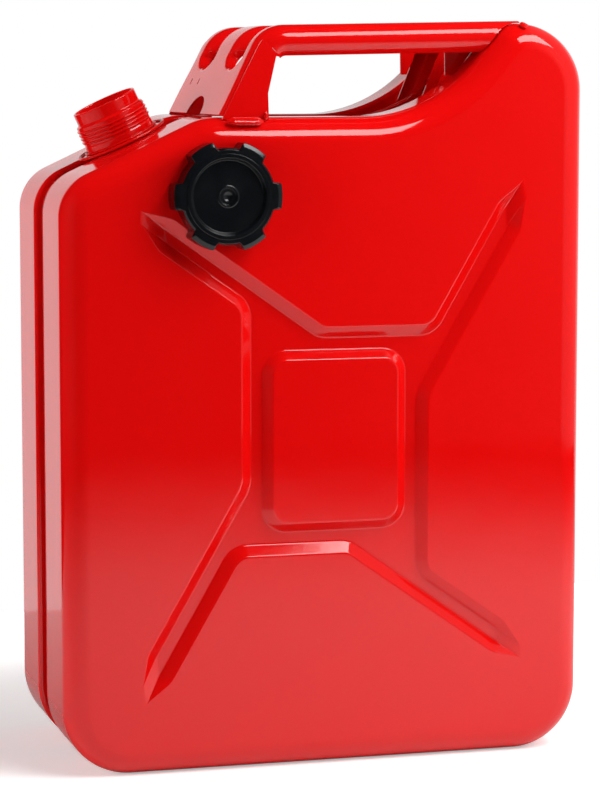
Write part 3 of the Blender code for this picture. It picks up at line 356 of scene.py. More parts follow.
ENAMEL = gloss_powder_coat("gloss_powder_coat_on_pressed_steel", ("D50808", "DD0A09"), 0.01, (0.04, 0.08))
WELD_ENAMEL = gloss_powder_coat("gloss_powder_coat_over_weld", ("C80807", "DA0B09"), 0.04, (0.06, 0.12))
CAP_PLASTIC = moulded_polypropylene()
RUBBER = nitrile_rubber()
NICKEL = nickel_plate()


# Mesh helpers


def sheet_object(name, bm, look):
    """An object of a bmesh, at the origin, with its finish."""
    mesh = bpy.data.meshes.new(name)
    bm.to_mesh(mesh)
    bm.free()
    mesh.materials.append(look)
    mesh.shade_smooth()
    made = bpy.data.objects.new(name, mesh)
    bpy.context.scene.collection.objects.link(made)
    return made


def bake(made):
    """Turns what the modifiers make of an object into its plain mesh."""
    graph = bpy.context.evaluated_depsgraph_get()
    seen = made.evaluated_get(graph)
    mesh = bpy.data.meshes.new_from_object(seen, preserve_all_data_layers=True, depsgraph=graph)
    made.modifiers.clear()
    made.data = mesh


def thicken(made, thickness):
    solidify = made.modifiers.new("wall", "SOLIDIFY")
    solidify.thickness = thickness
    solidify.offset = -1
    solidify.use_even_offset = True


def cut(made, *cutters):
    """Cuts closed meshes out of an object, and deletes them."""
    for cutter in cutters:
        boolean = made.modifiers.new("cut", "BOOLEAN")
        boolean.operation = "DIFFERENCE"
        boolean.solver = "EXACT"
        boolean.object = cutter
    bake(made)
    for cutter in cutters:
        bpy.data.objects.remove(cutter)


def cutter_of(bm):
    bmesh.ops.recalc_face_normals(bm, faces=bm.faces)
    return sheet_object("cutter", bm, ENAMEL)


def rounded_edges(made, width):
    """A small bevel on the cut edges, so that they catch the light as sheared sheet does."""
    bevel = made.modifiers.new("edges", "BEVEL")
    bevel.width = width
    bevel.segments = 2
    bevel.limit_method = "ANGLE"
    bevel.angle_limit = math.radians(50)


def crisp(made, angle):
    """Smooth shading whose flat faces stay flat, with a crease wherever faces turn by more than angle."""
    made.data.shade_smooth()
    made.data.set_sharp_from_angle(angle=math.radians(angle))
    weighted = made.modifiers.new("flat faces", "WEIGHTED_NORMAL")
    weighted.keep_sharp = True
    bake(made)


def worn(piece, matrix, body, node, angle=None):
    """Puts a piece in its place, creased at angle, on its body and for its CAD node."""
    if angle:
        crisp(piece, angle)
    piece.data.transform(matrix)
    piece.data.update()
    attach(piece, body)
    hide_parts(node)


def left_of(direction):
    return Vector((-direction.y, direction.x))


def turned_by(direction, angle):
    cos, sin = math.cos(angle), math.sin(angle)
    return Vector((direction.x * cos - direction.y * sin, direction.x * sin + direction.y * cos))


def heading(angle):
    return Vector((math.cos(angle), math.sin(angle)))


def rounded(corners, closed=True, step=ARC_STEP):
    """Points of an outline with arcs at its corners (x, z, radius), each with the normal on its left."""
    points = []
    count = len(corners)
    for index, (x, z, radius) in enumerate(corners):
        here = Vector((x, z))
        if not closed and index in (0, count - 1):
            other = corners[1] if index == 0 else corners[-2]
            way = (Vector(other[:2]) - here) * (1 if index == 0 else -1)
            points.append((here, left_of(way.normalized())))
            continue
        before = (here - Vector(corners[index - 1][:2])).normalized()
        after = (Vector(corners[(index + 1) % count][:2]) - here).normalized()
        turn = math.atan2(before.cross(after), before.dot(after))
        steps = max(1, math.ceil(abs(turn) / step - 0.01))
        start = here - before * radius * math.tan(abs(turn) / 2)
        centre = start + left_of(before) * math.copysign(radius, turn)
        for k in range(steps + 1):
            way = turned_by(before, turn * k / steps)
            points.append((centre - left_of(way) * math.copysign(radius, turn), left_of(way)))
    return points


def arc(centre_y, centre_n, radius, start, end, steps):
    """Points (y, n) on an arc, its angles measured from +y towards +n."""
    angles = [start + (end - start) * k / steps for k in range(steps + 1)]
    return [(centre_y + radius * math.cos(a), centre_n + radius * math.sin(a)) for a in angles]


def edges_of(bm, verts):
    pairs = zip(verts, verts[1:] + verts[:1])
    return [bm.edges.get(pair) or bm.edges.new(pair) for pair in pairs]


def fill(bm, *loops):
    """Fills the flat region between closed loops of vertices."""
    edges = [edge for loop in loops for edge in edges_of(bm, loop)]
    bmesh.ops.triangle_fill(bm, edges=edges, use_beauty=True, use_dissolve=False, normal=(0, -1, 0))


def strip(bm, upper, lower):
    """Joins two rows of vertices, which may share their ends, by a strip of faces."""
    for a, b, c, d in zip(upper, upper[1:], lower[1:], lower):
        corners = [v for k, v in enumerate((a, b, c, d)) if v not in (a, b, c, d)[:k]]
        if len(corners) > 2:
            bm.faces.new(corners)


def bands(bm, rows):
    """Joins closed rows of vertices, each to the next, by bands of faces."""
    for upper, lower in zip(rows, rows[1:]):
        strip(bm, upper + upper[:1], lower + lower[:1])


def prism(bm, outline, ends):
    """A closed body of an outline in (x, z), from one y to another."""
    loops = []
    for y in ends:
        loops.append([bm.verts.new((p.x, y, p.y)) for p in outline])
        bm.faces.new(loops[-1])
    bands(bm, loops)


def eased(share):
    """Runs from 0 to 1, straight in the middle and bent over RAMP_EASE at both ends."""
    rate = 1 / (1 - RAMP_EASE)
    if share < RAMP_EASE:
        return rate * share**2 / (2 * RAMP_EASE)
    if share > 1 - RAMP_EASE:
        return 1 - rate * (1 - share) ** 2 / (2 * RAMP_EASE)
    return rate * (share - RAMP_EASE / 2)


def smooth(share):
    share = min(1, max(0, share))
    return share * share * (3 - 2 * share)


# Shells


def can_outline(stations=True):
    """The shells' outline, clockwise from the bottom left, so that its left normals point outward."""
    corners = [
        (-HALF_WIDTH, 0, BOTTOM_RADIUS),
        (-HALF_WIDTH, SHOULDER_START_Z, SHOULDER_RADIUS),
        (SHOULDER_END_X, TOP_HEIGHT, SHOULDER_END_RADIUS),
        (SWEEP_X, TOP_HEIGHT, SWEEP_RADIUS),
        (HUMP_START_X, HUMP_HEIGHT, HUMP_START_RADIUS),
        (HALF_WIDTH, HUMP_HEIGHT, HUMP_RADIUS),
        (HALF_WIDTH, 0, BOTTOM_RADIUS),
    ]
    points = rounded(corners)
    if not stations:
        return points
    start, end = WIDENING_X
    xs = [start + (end - start) * k / WIDENING_STEPS for k in range(WIDENING_STEPS + 1)]
    apart = MM / 10
    out = []
    for (here, normal), (after, next_normal) in zip(points, points[1:] + points[:1]):
        out.append((here, normal))
        for x in xs:
            if here.x + apart < x < after.x - apart and here.y > TOP_HEIGHT - MM:
                share = (x - here.x) / (after.x - here.x)
                out.append((here.lerp(after, share), normal.lerp(next_normal, share).normalized()))
    return out


def groove_half(point):
    """Half width of the groove at a point of the outline."""
    if point.y < SHOULDER_START_Z:
        return GROOVE_HALF
    if point.x < SHOULDER_END_X:
        share = (point.x + HALF_WIDTH) / (SHOULDER_END_X + HALF_WIDTH)
        return GROOVE_HALF + (NECK_GROOVE_HALF - GROOVE_HALF) * share
    if point.x < WIDENING_X[1]:
        share = (point.x - WIDENING_X[0]) / (WIDENING_X[1] - WIDENING_X[0])
        return NECK_GROOVE_HALF + (TROUGH_HALF - NECK_GROOVE_HALF) * smooth(share)
    share = (point.x - NARROWING_X[0]) / (NARROWING_X[1] - NARROWING_X[0])
    return TROUGH_HALF + (GROOVE_HALF - TROUGH_HALF) * smooth(share)


def shell_section(half):
    """Half of the can's wall across the seam: distance from the middle plane, height over the outline."""
    rows = arc(HALF_DEPTH - EDGE_RADIUS, -EDGE_RADIUS, EDGE_RADIUS, 0, QUARTER, EDGE_STEPS)
    rows += arc(half + LIP_RADIUS, -LIP_RADIUS, LIP_RADIUS, QUARTER, 2 * QUARTER, LIP_STEPS)
    bend_n = GROOVE_BEND - GROOVE_DEPTH
    rows += arc(half - GROOVE_BEND, bend_n, GROOVE_BEND, 0, -QUARTER, BEND_STEPS)
    rows += arc(FLANGE_Y + GROOVE_BEND, bend_n, GROOVE_BEND, -QUARTER, -2 * QUARTER, BEND_STEPS)
    rows.append((FLANGE_Y, FLANGE_TOP))
    return rows


def press_runs():
    """The four edges of the pressing's floor between arm tips, clockwise: (point, normal, ramp) each."""
    shallow, steep = heading(-SHALLOW_ANGLE), heading(STEEP_ANGLE)
    shallow_corner = Vector((SHALLOW_CORNER, FLOOR_HALF_HEIGHT))
    steep_corner = Vector((STEEP_CORNER, FLOOR_HALF_HEIGHT))
    shallow_tip = shallow_corner - shallow * (SHALLOW_TIP + SHALLOW_CORNER) / shallow.x
    steep_tip = steep_corner + steep * (STEEP_TIP - STEEP_CORNER) / steep.x
    top = [shallow_tip, shallow_corner, steep_corner, steep_tip]

    def inner_line(outer, way, width):
        """Where the arm's inner edge, parallel to the outer one, crosses the floor's right edge."""
        through = outer - left_of(way) * width
        return through + way * (FLOOR_HALF_WIDTH - through.x) / way.x

    right_upper = inner_line(steep_corner, steep, STEEP_FLOOR)
    right_tip = steep_tip - left_of(steep) * STEEP_FLOOR - steep * math.sqrt(TIP_LENGTH**2 - STEEP_FLOOR**2)
    lower_tip = -(shallow_tip - left_of(shallow) * SHALLOW_FLOOR + shallow * (TIP_LENGTH - SHALLOW_FLOOR))
    lower = inner_line(-shallow_corner, shallow, -SHALLOW_FLOOR)
    right = [right_tip, right_upper, lower, lower_tip]
    runs = []
    radii = ((0, FLOOR_RADIUS, FLOOR_RADIUS, 0), (0, SIDE_RADIUS, FLOOR_RADIUS, 0))
    shares = [k / RAMP_STEPS for k in range(RAMP_STEPS + 1)]
    for corners, sizes in zip((top, right), radii):
        points = rounded([(*c, r) for c, r in zip(corners, sizes)], closed=False)
        (first, first_normal), (last, last_normal) = points[0], points[-1]
        ahead = (points[1][0] - first).normalized() * RAMP
        back = (points[-2][0] - last).normalized() * RAMP
        run = [(first + ahead * s, first_normal, eased(s)) for s in shares]
        run += [(point, normal, 1) for point, normal in points[1:-1]]
        run += [(last + back * s, last_normal, eased(s)) for s in reversed(shares)]
        runs.append(run)
    return runs + [[(-point, -normal, ramp) for point, normal, ramp in run] for run in runs]


def wall_section(width):
    """Rows across a sloping wall of the pressing, from the face down to the floor: offset and depth."""
    beyond = 3 * PRESS_FILLET
    corners = [(width + beyond, 0, 0), (width, 0, PRESS_FILLET), (0, PRESS_DEPTH, PRESS_FILLET)]
    corners.append((-beyond, PRESS_DEPTH, 0))
    return [(p.x, p.y) for p, _ in rounded(corners, closed=False, step=math.radians(6.5))[1:-1]]


def island_loop(inset):
    half_width = FLOOR_HALF_WIDTH - FLOOR_RIM - inset
    half_height = FLOOR_HALF_HEIGHT - FLOOR_RIM - inset
    signs = ((-1, -1), (-1, 1), (1, 1), (1, -1))
    corners = [(sx * half_width, sz * half_height, ISLAND_RADIUS - inset) for sx, sz in signs]
    return [point for point, _ in rounded(corners)]


def shell_sheet():
    """The front tray as an open sheet: face with the pressing, rounded edge, side, groove and flange."""
    bm = bmesh.new()
    outline = can_outline()
    sections = [shell_section(groove_half(point)) for point, _ in outline]
    rows = []
    for row in range(len(sections[0])):
        verts = []
        for (point, normal), section in zip(outline, sections):
            y, n = section[row]
            place = point + normal * n
            verts.append(bm.verts.new((place.x, -y, place.y)))
        rows.append(verts)
    bands(bm, rows)

    def press_vert(point, depth):
        return bm.verts.new((PRESS_X + point.x, depth - HALF_DEPTH, PRESS_Z + point.y))

    fields, floors = [], []
    section = wall_section(PRESS_WALL)
    for run in press_runs():
        start, end = press_vert(run[0][0], 0), press_vert(run[-1][0], 0)
        wall = []
        for offset, depth in section:
            inner = [press_vert(p + n * offset * ramp, depth * ramp) for p, n, ramp in run[1:-1]]
            wall.append([start, *inner, end])
        for upper, lower in zip(wall, wall[1:]):
            strip(bm, upper, lower)
        fields.append(wall[0])
        floors.append(wall[-1])
    island = []
    for offset, depth in wall_section(ISLAND_WALL):
        island.append([press_vert(p, depth) for p in island_loop(offset)])
    bands(bm, island)
    fill(bm, rows[0], [v for field in fields for v in field])
    fill(bm, [v for floor in floors for v in floor[RAMP_STEPS : -RAMP_STEPS]], island[-1])
    fill(bm, island[0])
    for index, floor in enumerate(floors):
        after = floors[(index + 1) % len(floors)]
        strip(bm, floor[: -RAMP_STEPS - 2 : -1], after[: RAMP_STEPS + 1])
    bmesh.ops.recalc_face_normals(bm, faces=bm.faces)
    bm.faces.ensure_lookup_table()
    top = set(island[0])
    face_side = next(face for face in bm.faces if all(v in top for v in face.verts))
    if face_side.normal.y > 0:
        bmesh.ops.reverse_faces(bm, faces=bm.faces)
    return bm


def neck_frame():
    """Turns the neck's own frame, Z along its axis and X up the shoulder, into the can's frame."""
    return Matrix.Translation((NECK_FOOT_X, 0, NECK_FOOT_Z)) @ Matrix.Rotation(-SHOULDER_SLOPE, 4, "Y")


def make_shells():
    for name, mirror in (("front_shell", False), ("rear_shell", True)):
        bm = shell_sheet()
        if mirror:
            bm.transform(Matrix.Scale(-1, 4, (0, 1, 0)))
            bmesh.ops.reverse_faces(bm, faces=bm.faces)
        shell = sheet_object(name + "_skin", bm, ENAMEL)
        thicken(shell, SHEET)
        bm = bmesh.new()
        radius, reach = NECK_HOLE_RADIUS, 4 * GROOVE_DEPTH
        bmesh.ops.create_cone(
            bm, cap_ends=True, segments=ROUND_SIDES, radius1=radius, radius2=radius, depth=reach
        )
        bm.transform(neck_frame())
        cut(shell, cutter_of(bm))
        worn(shell, IN_CAN, "can", name, SHEET_CREASE)


# Geometry Nodes: the neck's thread and the weld runs


def new_tree(name, inputs):
    """A Geometry Nodes tree with a geometry in and out, and named inputs (name, kind, value)."""
    tree = bpy.data.node_groups.new(name, "GeometryNodeTree")
    tree.interface.new_socket("Geometry", in_out="INPUT", socket_type="NodeSocketGeometry")
    for label, kind, value in inputs:
        socket = tree.interface.new_socket(label, in_out="INPUT", socket_type="NodeSocket" + kind)
        if value is not None:
            socket.default_value = value
    tree.interface.new_socket("Geometry", in_out="OUTPUT", socket_type="NodeSocketGeometry")
    return tree, add(tree, "NodeGroupInput").outputs


def end_tree(tree, geometry, look):
    """Ends a tree in smooth, realised geometry with its material."""
    smooth_faces = add(tree, "GeometryNodeSetShadeSmooth", {"Geometry": geometry})
    real = add(tree, "GeometryNodeRealizeInstances", {"Geometry": smooth_faces})
    dressed = add(tree, "GeometryNodeSetMaterial", {"Geometry": real, "Material": look})
    add(tree, "NodeGroupOutput", {0: dressed})


def grown(made, tree, values):
    """Runs a tree on an object and keeps the mesh that comes out."""
    modifier = made.modifiers.new(tree.name, "NODES")
    modifier.node_group = tree
    for item in tree.interface.items_tree:
        if item.item_type == "SOCKET" and item.in_out == "INPUT" and item.name in values:
            modifier[item.identifier] = values[item.name]
    bake(made)
    for name in ("run", "around"):
        if name in made.data.attributes:
            made.data.attributes.remove(made.data.attributes[name])


def thread_tree():
    """Adds a rolled screw thread to a turned blank: one ridge that climbs it and fades out at both ends."""
    inputs = [
        ("Root radius", "Float", THREAD_ROOT),
        ("Ridge", "Float", THREAD_RADIUS - THREAD_ROOT),
        ("Pitch", "Float", THREAD_PITCH),
        ("Turns", "Float", 5),
        ("Start height", "Float", THREAD_SPAN[0]),
        ("Fade", "Float", 0.06),
        ("Finish", "Material", None),
    ]
    tree, given = new_tree("screw_thread", inputs)
    shape = {
        "Resolution": 96,
        "Rotations": given["Turns"],
        "Start Radius": given["Root radius"],
        "End Radius": given["Root radius"],
        "Height": add(tree, "ShaderNodeMath", {0: given["Turns"], 1: given["Pitch"]}, operation="MULTIPLY"),
    }
    spiral = add(tree, "GeometryNodeCurveSpiral", shape)
    lift = add(tree, "ShaderNodeCombineXYZ", {"Z": given["Start height"]})
    raised = add(tree, "GeometryNodeSetPosition", {"Geometry": spiral, "Offset": lift})
    share = add(tree, "GeometryNodeSplineParameter").outputs["Factor"]
    to_end = add(tree, "ShaderNodeMath", {0: 1.0, 1: share}, operation="SUBTRACT")
    size = share
    for operation, other in (
        ("MINIMUM", to_end),
        ("DIVIDE", given["Fade"]),
        ("MINIMUM", 1.0),
        ("MAXIMUM", 0.02),
        ("MULTIPLY", given["Ridge"]),
    ):
        size = add(tree, "ShaderNodeMath", {0: size, 1: other}, operation=operation)
    section = add(tree, "GeometryNodeCurvePrimitiveCircle", {"Resolution": 8, "Radius": 1.0})
    sweep = {"Curve": raised, "Profile Curve": section, "Scale": size, "Fill Caps": True}
    joined = add(tree, "GeometryNodeJoinGeometry", {0: given["Geometry"]})
    join(joined, {0: add(tree, "GeometryNodeCurveToMesh", sweep)})
    end_tree(tree, joined, given["Finish"])
    return tree


def weld_tree():
    """Lays a weld bead along the edges it is given: crescent ripples, an uneven width and tapered ends."""
    inputs = [
        ("Radius", "Float", SEAM_BEAD),
        ("Ripple pitch", "Float", 2.4 * MM),
        ("Ripple height", "Float", 0.25 * MM),
        ("Crescent", "Float", 0.35),
        ("End taper", "Float", 3 * MM),
        ("Unevenness", "Float", 0.12),
        ("Seed", "Float", 1),
        ("Finish", "Material", None),
    ]
    tree, given = new_tree("weld_run", inputs)
    path = add(tree, "GeometryNodeMeshToCurve", {0: given["Geometry"]})
    step = add(tree, "ShaderNodeMath", {0: given["Ripple pitch"], 1: 5.0}, operation="DIVIDE")
    spaced = add(tree, "GeometryNodeResampleCurve", {"Curve": path, "Length": step}, mode="LENGTH")
    run = add(tree, "GeometryNodeSplineParameter").outputs["Length"]
    section = add(tree, "GeometryNodeCurvePrimitiveCircle", {"Resolution": 12, "Radius": 1.0})
    round_it = add(tree, "GeometryNodeSplineParameter").outputs["Factor"]
    # Each point keeps how far along the run, and how far round the bead, it lies
    kept, around = [
        add(
            tree,
            "GeometryNodeStoreNamedAttribute",
            {"Geometry": curve, "Name": name, "Value": value},
            data_type="FLOAT",
            domain="POINT",
        )
        for curve, name, value in ((spaced, "run", run), (section, "around", round_it))
    ]
    to_end = add(tree, "GeometryNodeSplineLength").outputs["Length"]
    shortest = add(tree, "ShaderNodeMath", {0: given["End taper"], 1: 0.00001}, operation="MAXIMUM")
    taper = to_end
    for operation, other in (
        ("SUBTRACT", run),
        ("MINIMUM", run),
        ("DIVIDE", shortest),
        ("MAXIMUM", 0.03),
        ("MINIMUM", 1.0),
        ("SQRT", 0.0),
    ):
        taper = add(tree, "ShaderNodeMath", {0: taper, 1: other}, operation=operation)
    along = add(
        tree, "ShaderNodeMath", {0: run, 1: per_metre(7), 2: given["Seed"]}, operation="MULTIPLY_ADD"
    )
    drift = {"W": along, "Scale": 1.0, "Detail": 2.0}
    size = add(tree, "ShaderNodeTexNoise", drift, noise_dimensions="1D")
    for operation, other in (
        ("SUBTRACT", 0.6),
        ("MULTIPLY", given["Unevenness"]),
        ("ADD", 1.0),
        ("MULTIPLY", taper),
        ("MULTIPLY", given["Radius"]),
    ):
        size = add(tree, "ShaderNodeMath", {0: size, 1: other}, operation=operation)
    sweep = {"Curve": kept, "Profile Curve": around, "Scale": size, "Fill Caps": True}
    bead = add(tree, "GeometryNodeCurveToMesh", sweep)
    height, bow = [
        add(tree, "GeometryNodeInputNamedAttribute", {"Name": name}, data_type="FLOAT")
        for name in ("run", "around")
    ]
    for operation, other in (("MULTIPLY", 4 * math.pi), ("COSINE", 0.0), ("MULTIPLY", given["Crescent"])):
        bow = add(tree, "ShaderNodeMath", {0: bow, 1: other}, operation=operation)
    for operation, other in (
        ("DIVIDE", given["Ripple pitch"]),
        ("ADD", bow),
        ("MULTIPLY", math.pi),
        ("SINE", 0.0),
        ("ABSOLUTE", 0.0),
        ("SUBTRACT", 1.0),
        ("MULTIPLY", given["Ripple height"]),
    ):
        height = add(tree, "ShaderNodeMath", {0: height, 1: other}, operation=operation)
    outward = add(tree, "GeometryNodeInputNormal")
    out = add(tree, "ShaderNodeVectorMath", {0: outward, "Scale": height}, operation="SCALE")
    rippled = add(tree, "GeometryNodeSetPosition", {"Geometry": bead, "Offset": out})
    end_tree(tree, rippled, given["Finish"])
    return tree


THREAD = thread_tree()
WELD = weld_tree()


def weld(name, points, radius, node, closed=False, matrix=None, pitch=2.4, height=0.25, taper=3, seed=1):
    """A weld run along points, in the place of its CAD node. Pitch, height and taper are in millimetres."""
    bm = bmesh.new()
    verts = [bm.verts.new(point) for point in points]
    for pair in zip(verts, verts[1:] + (verts[:1] if closed else [])):
        bm.edges.new(pair)
    made = sheet_object(name, bm, WELD_ENAMEL)
    values = {
        "Radius": radius,
        "Ripple pitch": pitch * MM,
        "Ripple height": height * MM,
        "End taper": 0.0 if closed else taper * MM,
        "Seed": float(seed),
        "Finish": WELD_ENAMEL,
    }
    grown(made, WELD, values)
    worn(made, IN_CAN @ (matrix or Matrix.Identity(4)), "can", node)


def make_seam_bead():
    """The bead on the two flanges, round the can from one side of the neck to the other."""
    height = FLANGE_TOP + FIT + SEAM_BEAD
    outline = can_outline()
    clear = SADDLE_LENGTH + SADDLE_BEAD * 2 + FIT
    slope = heading(SHOULDER_SLOPE)
    foot = Vector((NECK_FOOT_X, NECK_FOOT_Z))
    ends = [foot + slope * side * clear + left_of(slope) * height for side in (1, -1)]
    past = next(k for k, (p, _) in enumerate(outline) if p.y > SHOULDER_START_Z and p.x > foot.x)
    round_the_can = [p + n * height for p, n in outline[past:] + outline[:past]]
    away = clear + 2 * SEAM_BEAD
    path = [ends[0], *[p for p in round_the_can if (p - foot).length > away], ends[1]]
    weld("seam_bead", [(p.x, 0, p.y) for p in path], SEAM_BEAD, "seam_weld_bead")


# Neck


def ring(along, across, height, count=RING_SIDES):
    """Points of a level ring, with its half length and half width."""
    angles = [2 * math.pi * k / count for k in range(count)]
    return [(along * math.cos(a), across * math.sin(a), height) for a in angles]


def ring_sheet(rows, count=ROUND_SIDES):
    """A sheet through rings given as (half length, half width, height)."""
    bm = bmesh.new()
    rings = [[bm.verts.new(point) for point in ring(*row, count)] for row in rows]
    bands(bm, rings)
    bmesh.ops.recalc_face_normals(bm, faces=bm.faces)
    return bm


def turned(corners, step=math.radians(15)):
    """A closed turned body of a section given as (radius, height, rounding)."""
    section = rounded(corners, step=step)
    rows = [(p.x, p.x, p.y) for p, _ in section]
    return ring_sheet([*rows, rows[0]])


def make_neck():
    place = IN_CAN @ neck_frame()
    flange_top = FIT + SHEET
    foot_out = NECK_FOOT_RADIUS + 2 * NECK_BEAD + FIT
    rows = []
    for k in range(SADDLE_STEPS + 1):
        share = k / SADDLE_STEPS
        along = SADDLE_LENGTH + (foot_out - SADDLE_LENGTH) * share
        across = SADDLE_WIDTH + (foot_out - SADDLE_WIDTH) * share
        rise = SADDLE_DOME[0] * share + SADDLE_DOME[1] * smooth(share)
        rows.append((along, across, flange_top + rise * SADDLE_RISE))
    rows += [(NECK_FOOT_RADIUS, NECK_FOOT_RADIUS, SADDLE_TOP), (NECK_BORE, NECK_BORE, SADDLE_TOP)]
    bm = ring_sheet(rows)
    bm.faces.ensure_lookup_table()
    if bm.faces[0].normal.z < 0:
        bmesh.ops.reverse_faces(bm, faces=bm.faces)
    saddle = sheet_object("neck_saddle_plate", bm, ENAMEL)
    thicken(saddle, SHEET)
    bake(saddle)
    worn(saddle, place, "can", "neck_saddle", SHEET_CREASE)

    foot = SADDLE_TOP + FIT
    low, high = THREAD_SPAN
    lip = NECK_WALL / 2 * 0.98
    corners = [
        (NECK_BORE, NECK_HEIGHT, lip),
        (NECK_RADIUS, NECK_HEIGHT, lip),
        (NECK_RADIUS, high + 1.2 * MM, 1 * MM),
        (THREAD_ROOT, high, 0.4 * MM),
        (THREAD_ROOT, low, 0.4 * MM),
        (NECK_FOOT_RADIUS, low - 0.8 * MM, 0.3 * MM),
        (NECK_FOOT_RADIUS, foot, 0.2 * MM),
        (NECK_FOOT_RADIUS - NECK_WALL, foot, 0.2 * MM),
        (NECK_FOOT_RADIUS - NECK_WALL, high - 0.8 * MM, 1 * MM),
        (NECK_BORE, high + 1.2 * MM, 1 * MM),
    ]
    bm = turned(corners)
    neck = sheet_object("threaded_neck", bm, ENAMEL)
    turns = (high - low - 2 * THREAD_RUN_OUT) / THREAD_PITCH
    values = {"Turns": turns, "Start height": low + THREAD_RUN_OUT, "Finish": ENAMEL}
    grown(neck, THREAD, values)
    worn(neck, place, "can", "filler_neck", THREAD_CREASE)

    frame_here = neck_frame()
    neck_ring = NECK_FOOT_RADIUS + FIT + NECK_BEAD
    points = ring(neck_ring, neck_ring, SADDLE_TOP + FIT + NECK_BEAD)
    weld("neck_bead", points, NECK_BEAD, "filler_neck_weld", True, frame_here, pitch=2.2, seed=2)
    aside = FIT + SADDLE_BEAD
    points = ring(SADDLE_LENGTH + aside, SADDLE_WIDTH + aside, aside)
    weld("saddle_bead", points, SADDLE_BEAD, "neck_saddle_weld", True, frame_here, pitch=2.6, seed=3)


# Handle


def along_path(pieces, u):
    """Point and left normal at u on the handle's side view, made of (length, turn to the right) pieces."""
    here = Vector((PLATE_FOOT_X, PLATE_FOOT_Z))
    facing = PLATE_ANGLE
    for index, (length, turn) in enumerate(pieces):
        part = u if index == len(pieces) - 1 else min(u, length)
        if turn:
            radius = length / turn
            centre = here - left_of(heading(facing)) * radius
            facing -= part / radius
            here = centre + left_of(heading(facing)) * radius
        else:
            here = here + heading(facing) * part
        u -= part
        if u <= 0:
            break
    return here, left_of(heading(facing))


def bar_at(x):
    """Distance along the handle of a place on the straight bars."""
    start = BEND_CENTRE_X - PLATE_BEND * math.sin(BAR_SLOPE)
    return BAR_START + (x - start) / math.cos(BAR_SLOPE)


def bar_point(x):
    """Place in the side view of the bars' upper face at x."""
    return Vector((x, BAR_TOP - (BAR_END_X - x) * math.tan(BAR_SLOPE)))


def leg_to_floor(off, gap):
    """Length from the bend, on a line beside the leg's outer face, to a gap above the trough's floor."""
    way = heading(-LEG_TURN)
    centre = bar_point(LEG_BEND_X) - left_of(heading(BAR_SLOPE)) * LEG_BEND
    start = centre + left_of(way) * (LEG_BEND + off)
    sweep_start_x = SWEEP_X - SWEEP_RADIUS * math.tan(SWEEP_SLOPE / 2)
    out = start - Vector((sweep_start_x, TOP_HEIGHT + SWEEP_RADIUS))
    reach = SWEEP_RADIUS + GROOVE_DEPTH - gap
    along = out.dot(way)
    return -along + math.sqrt(along**2 - out.length_squared + reach**2), start


def side_radius(u):
    """Rounding of the pressing's outer sides at u, which grows up the end plate."""
    share = min(1, max(0, (u - ROLL_START) / (NOTCH_AT - ROLL_START)))
    return PRESSED_EDGE + (BAR_ROLL - PRESSED_EDGE) * share


def slot_end():
    """The bend line round a slot's lower end: (u, y, direction inward, radius of the edge) for each point."""
    low = SLOT_HEIGHT - SLOT_ROLL[0]
    full = SLOT_HALF + SLOT_ROLL[1]
    last = math.asin(full / SLOT_BOW)
    bow_end = low + SLOT_BOW * (1 - math.cos(last))
    straight_end = SLOT_HEIGHT + 2 * SLOT_ROLL[1]
    half = []
    round_steps, side_steps = SLOT_STEPS
    for k in range(round_steps + 1):
        angle = last * k / round_steps
        half.append((low + SLOT_BOW * (1 - math.cos(angle)), SLOT_BOW * math.sin(angle), angle))
    for k in range(1, side_steps + 1):
        u = bow_end + (straight_end - bow_end) * k / side_steps
        half.append((u, full, last + (QUARTER - last) * smooth(k / SLOT_TURN_STEPS)))
    points = []
    for side, row in ((1, half[::-1]), (-1, half[1:])):
        for u, y, angle in row:
            radius = SLOT_ROLL[0] + (SLOT_ROLL[1] - SLOT_ROLL[0]) * smooth((u - low) / (straight_end - low))
            points.append((u, side * y, Vector((math.cos(angle), -side * math.sin(angle))), radius))
    return points


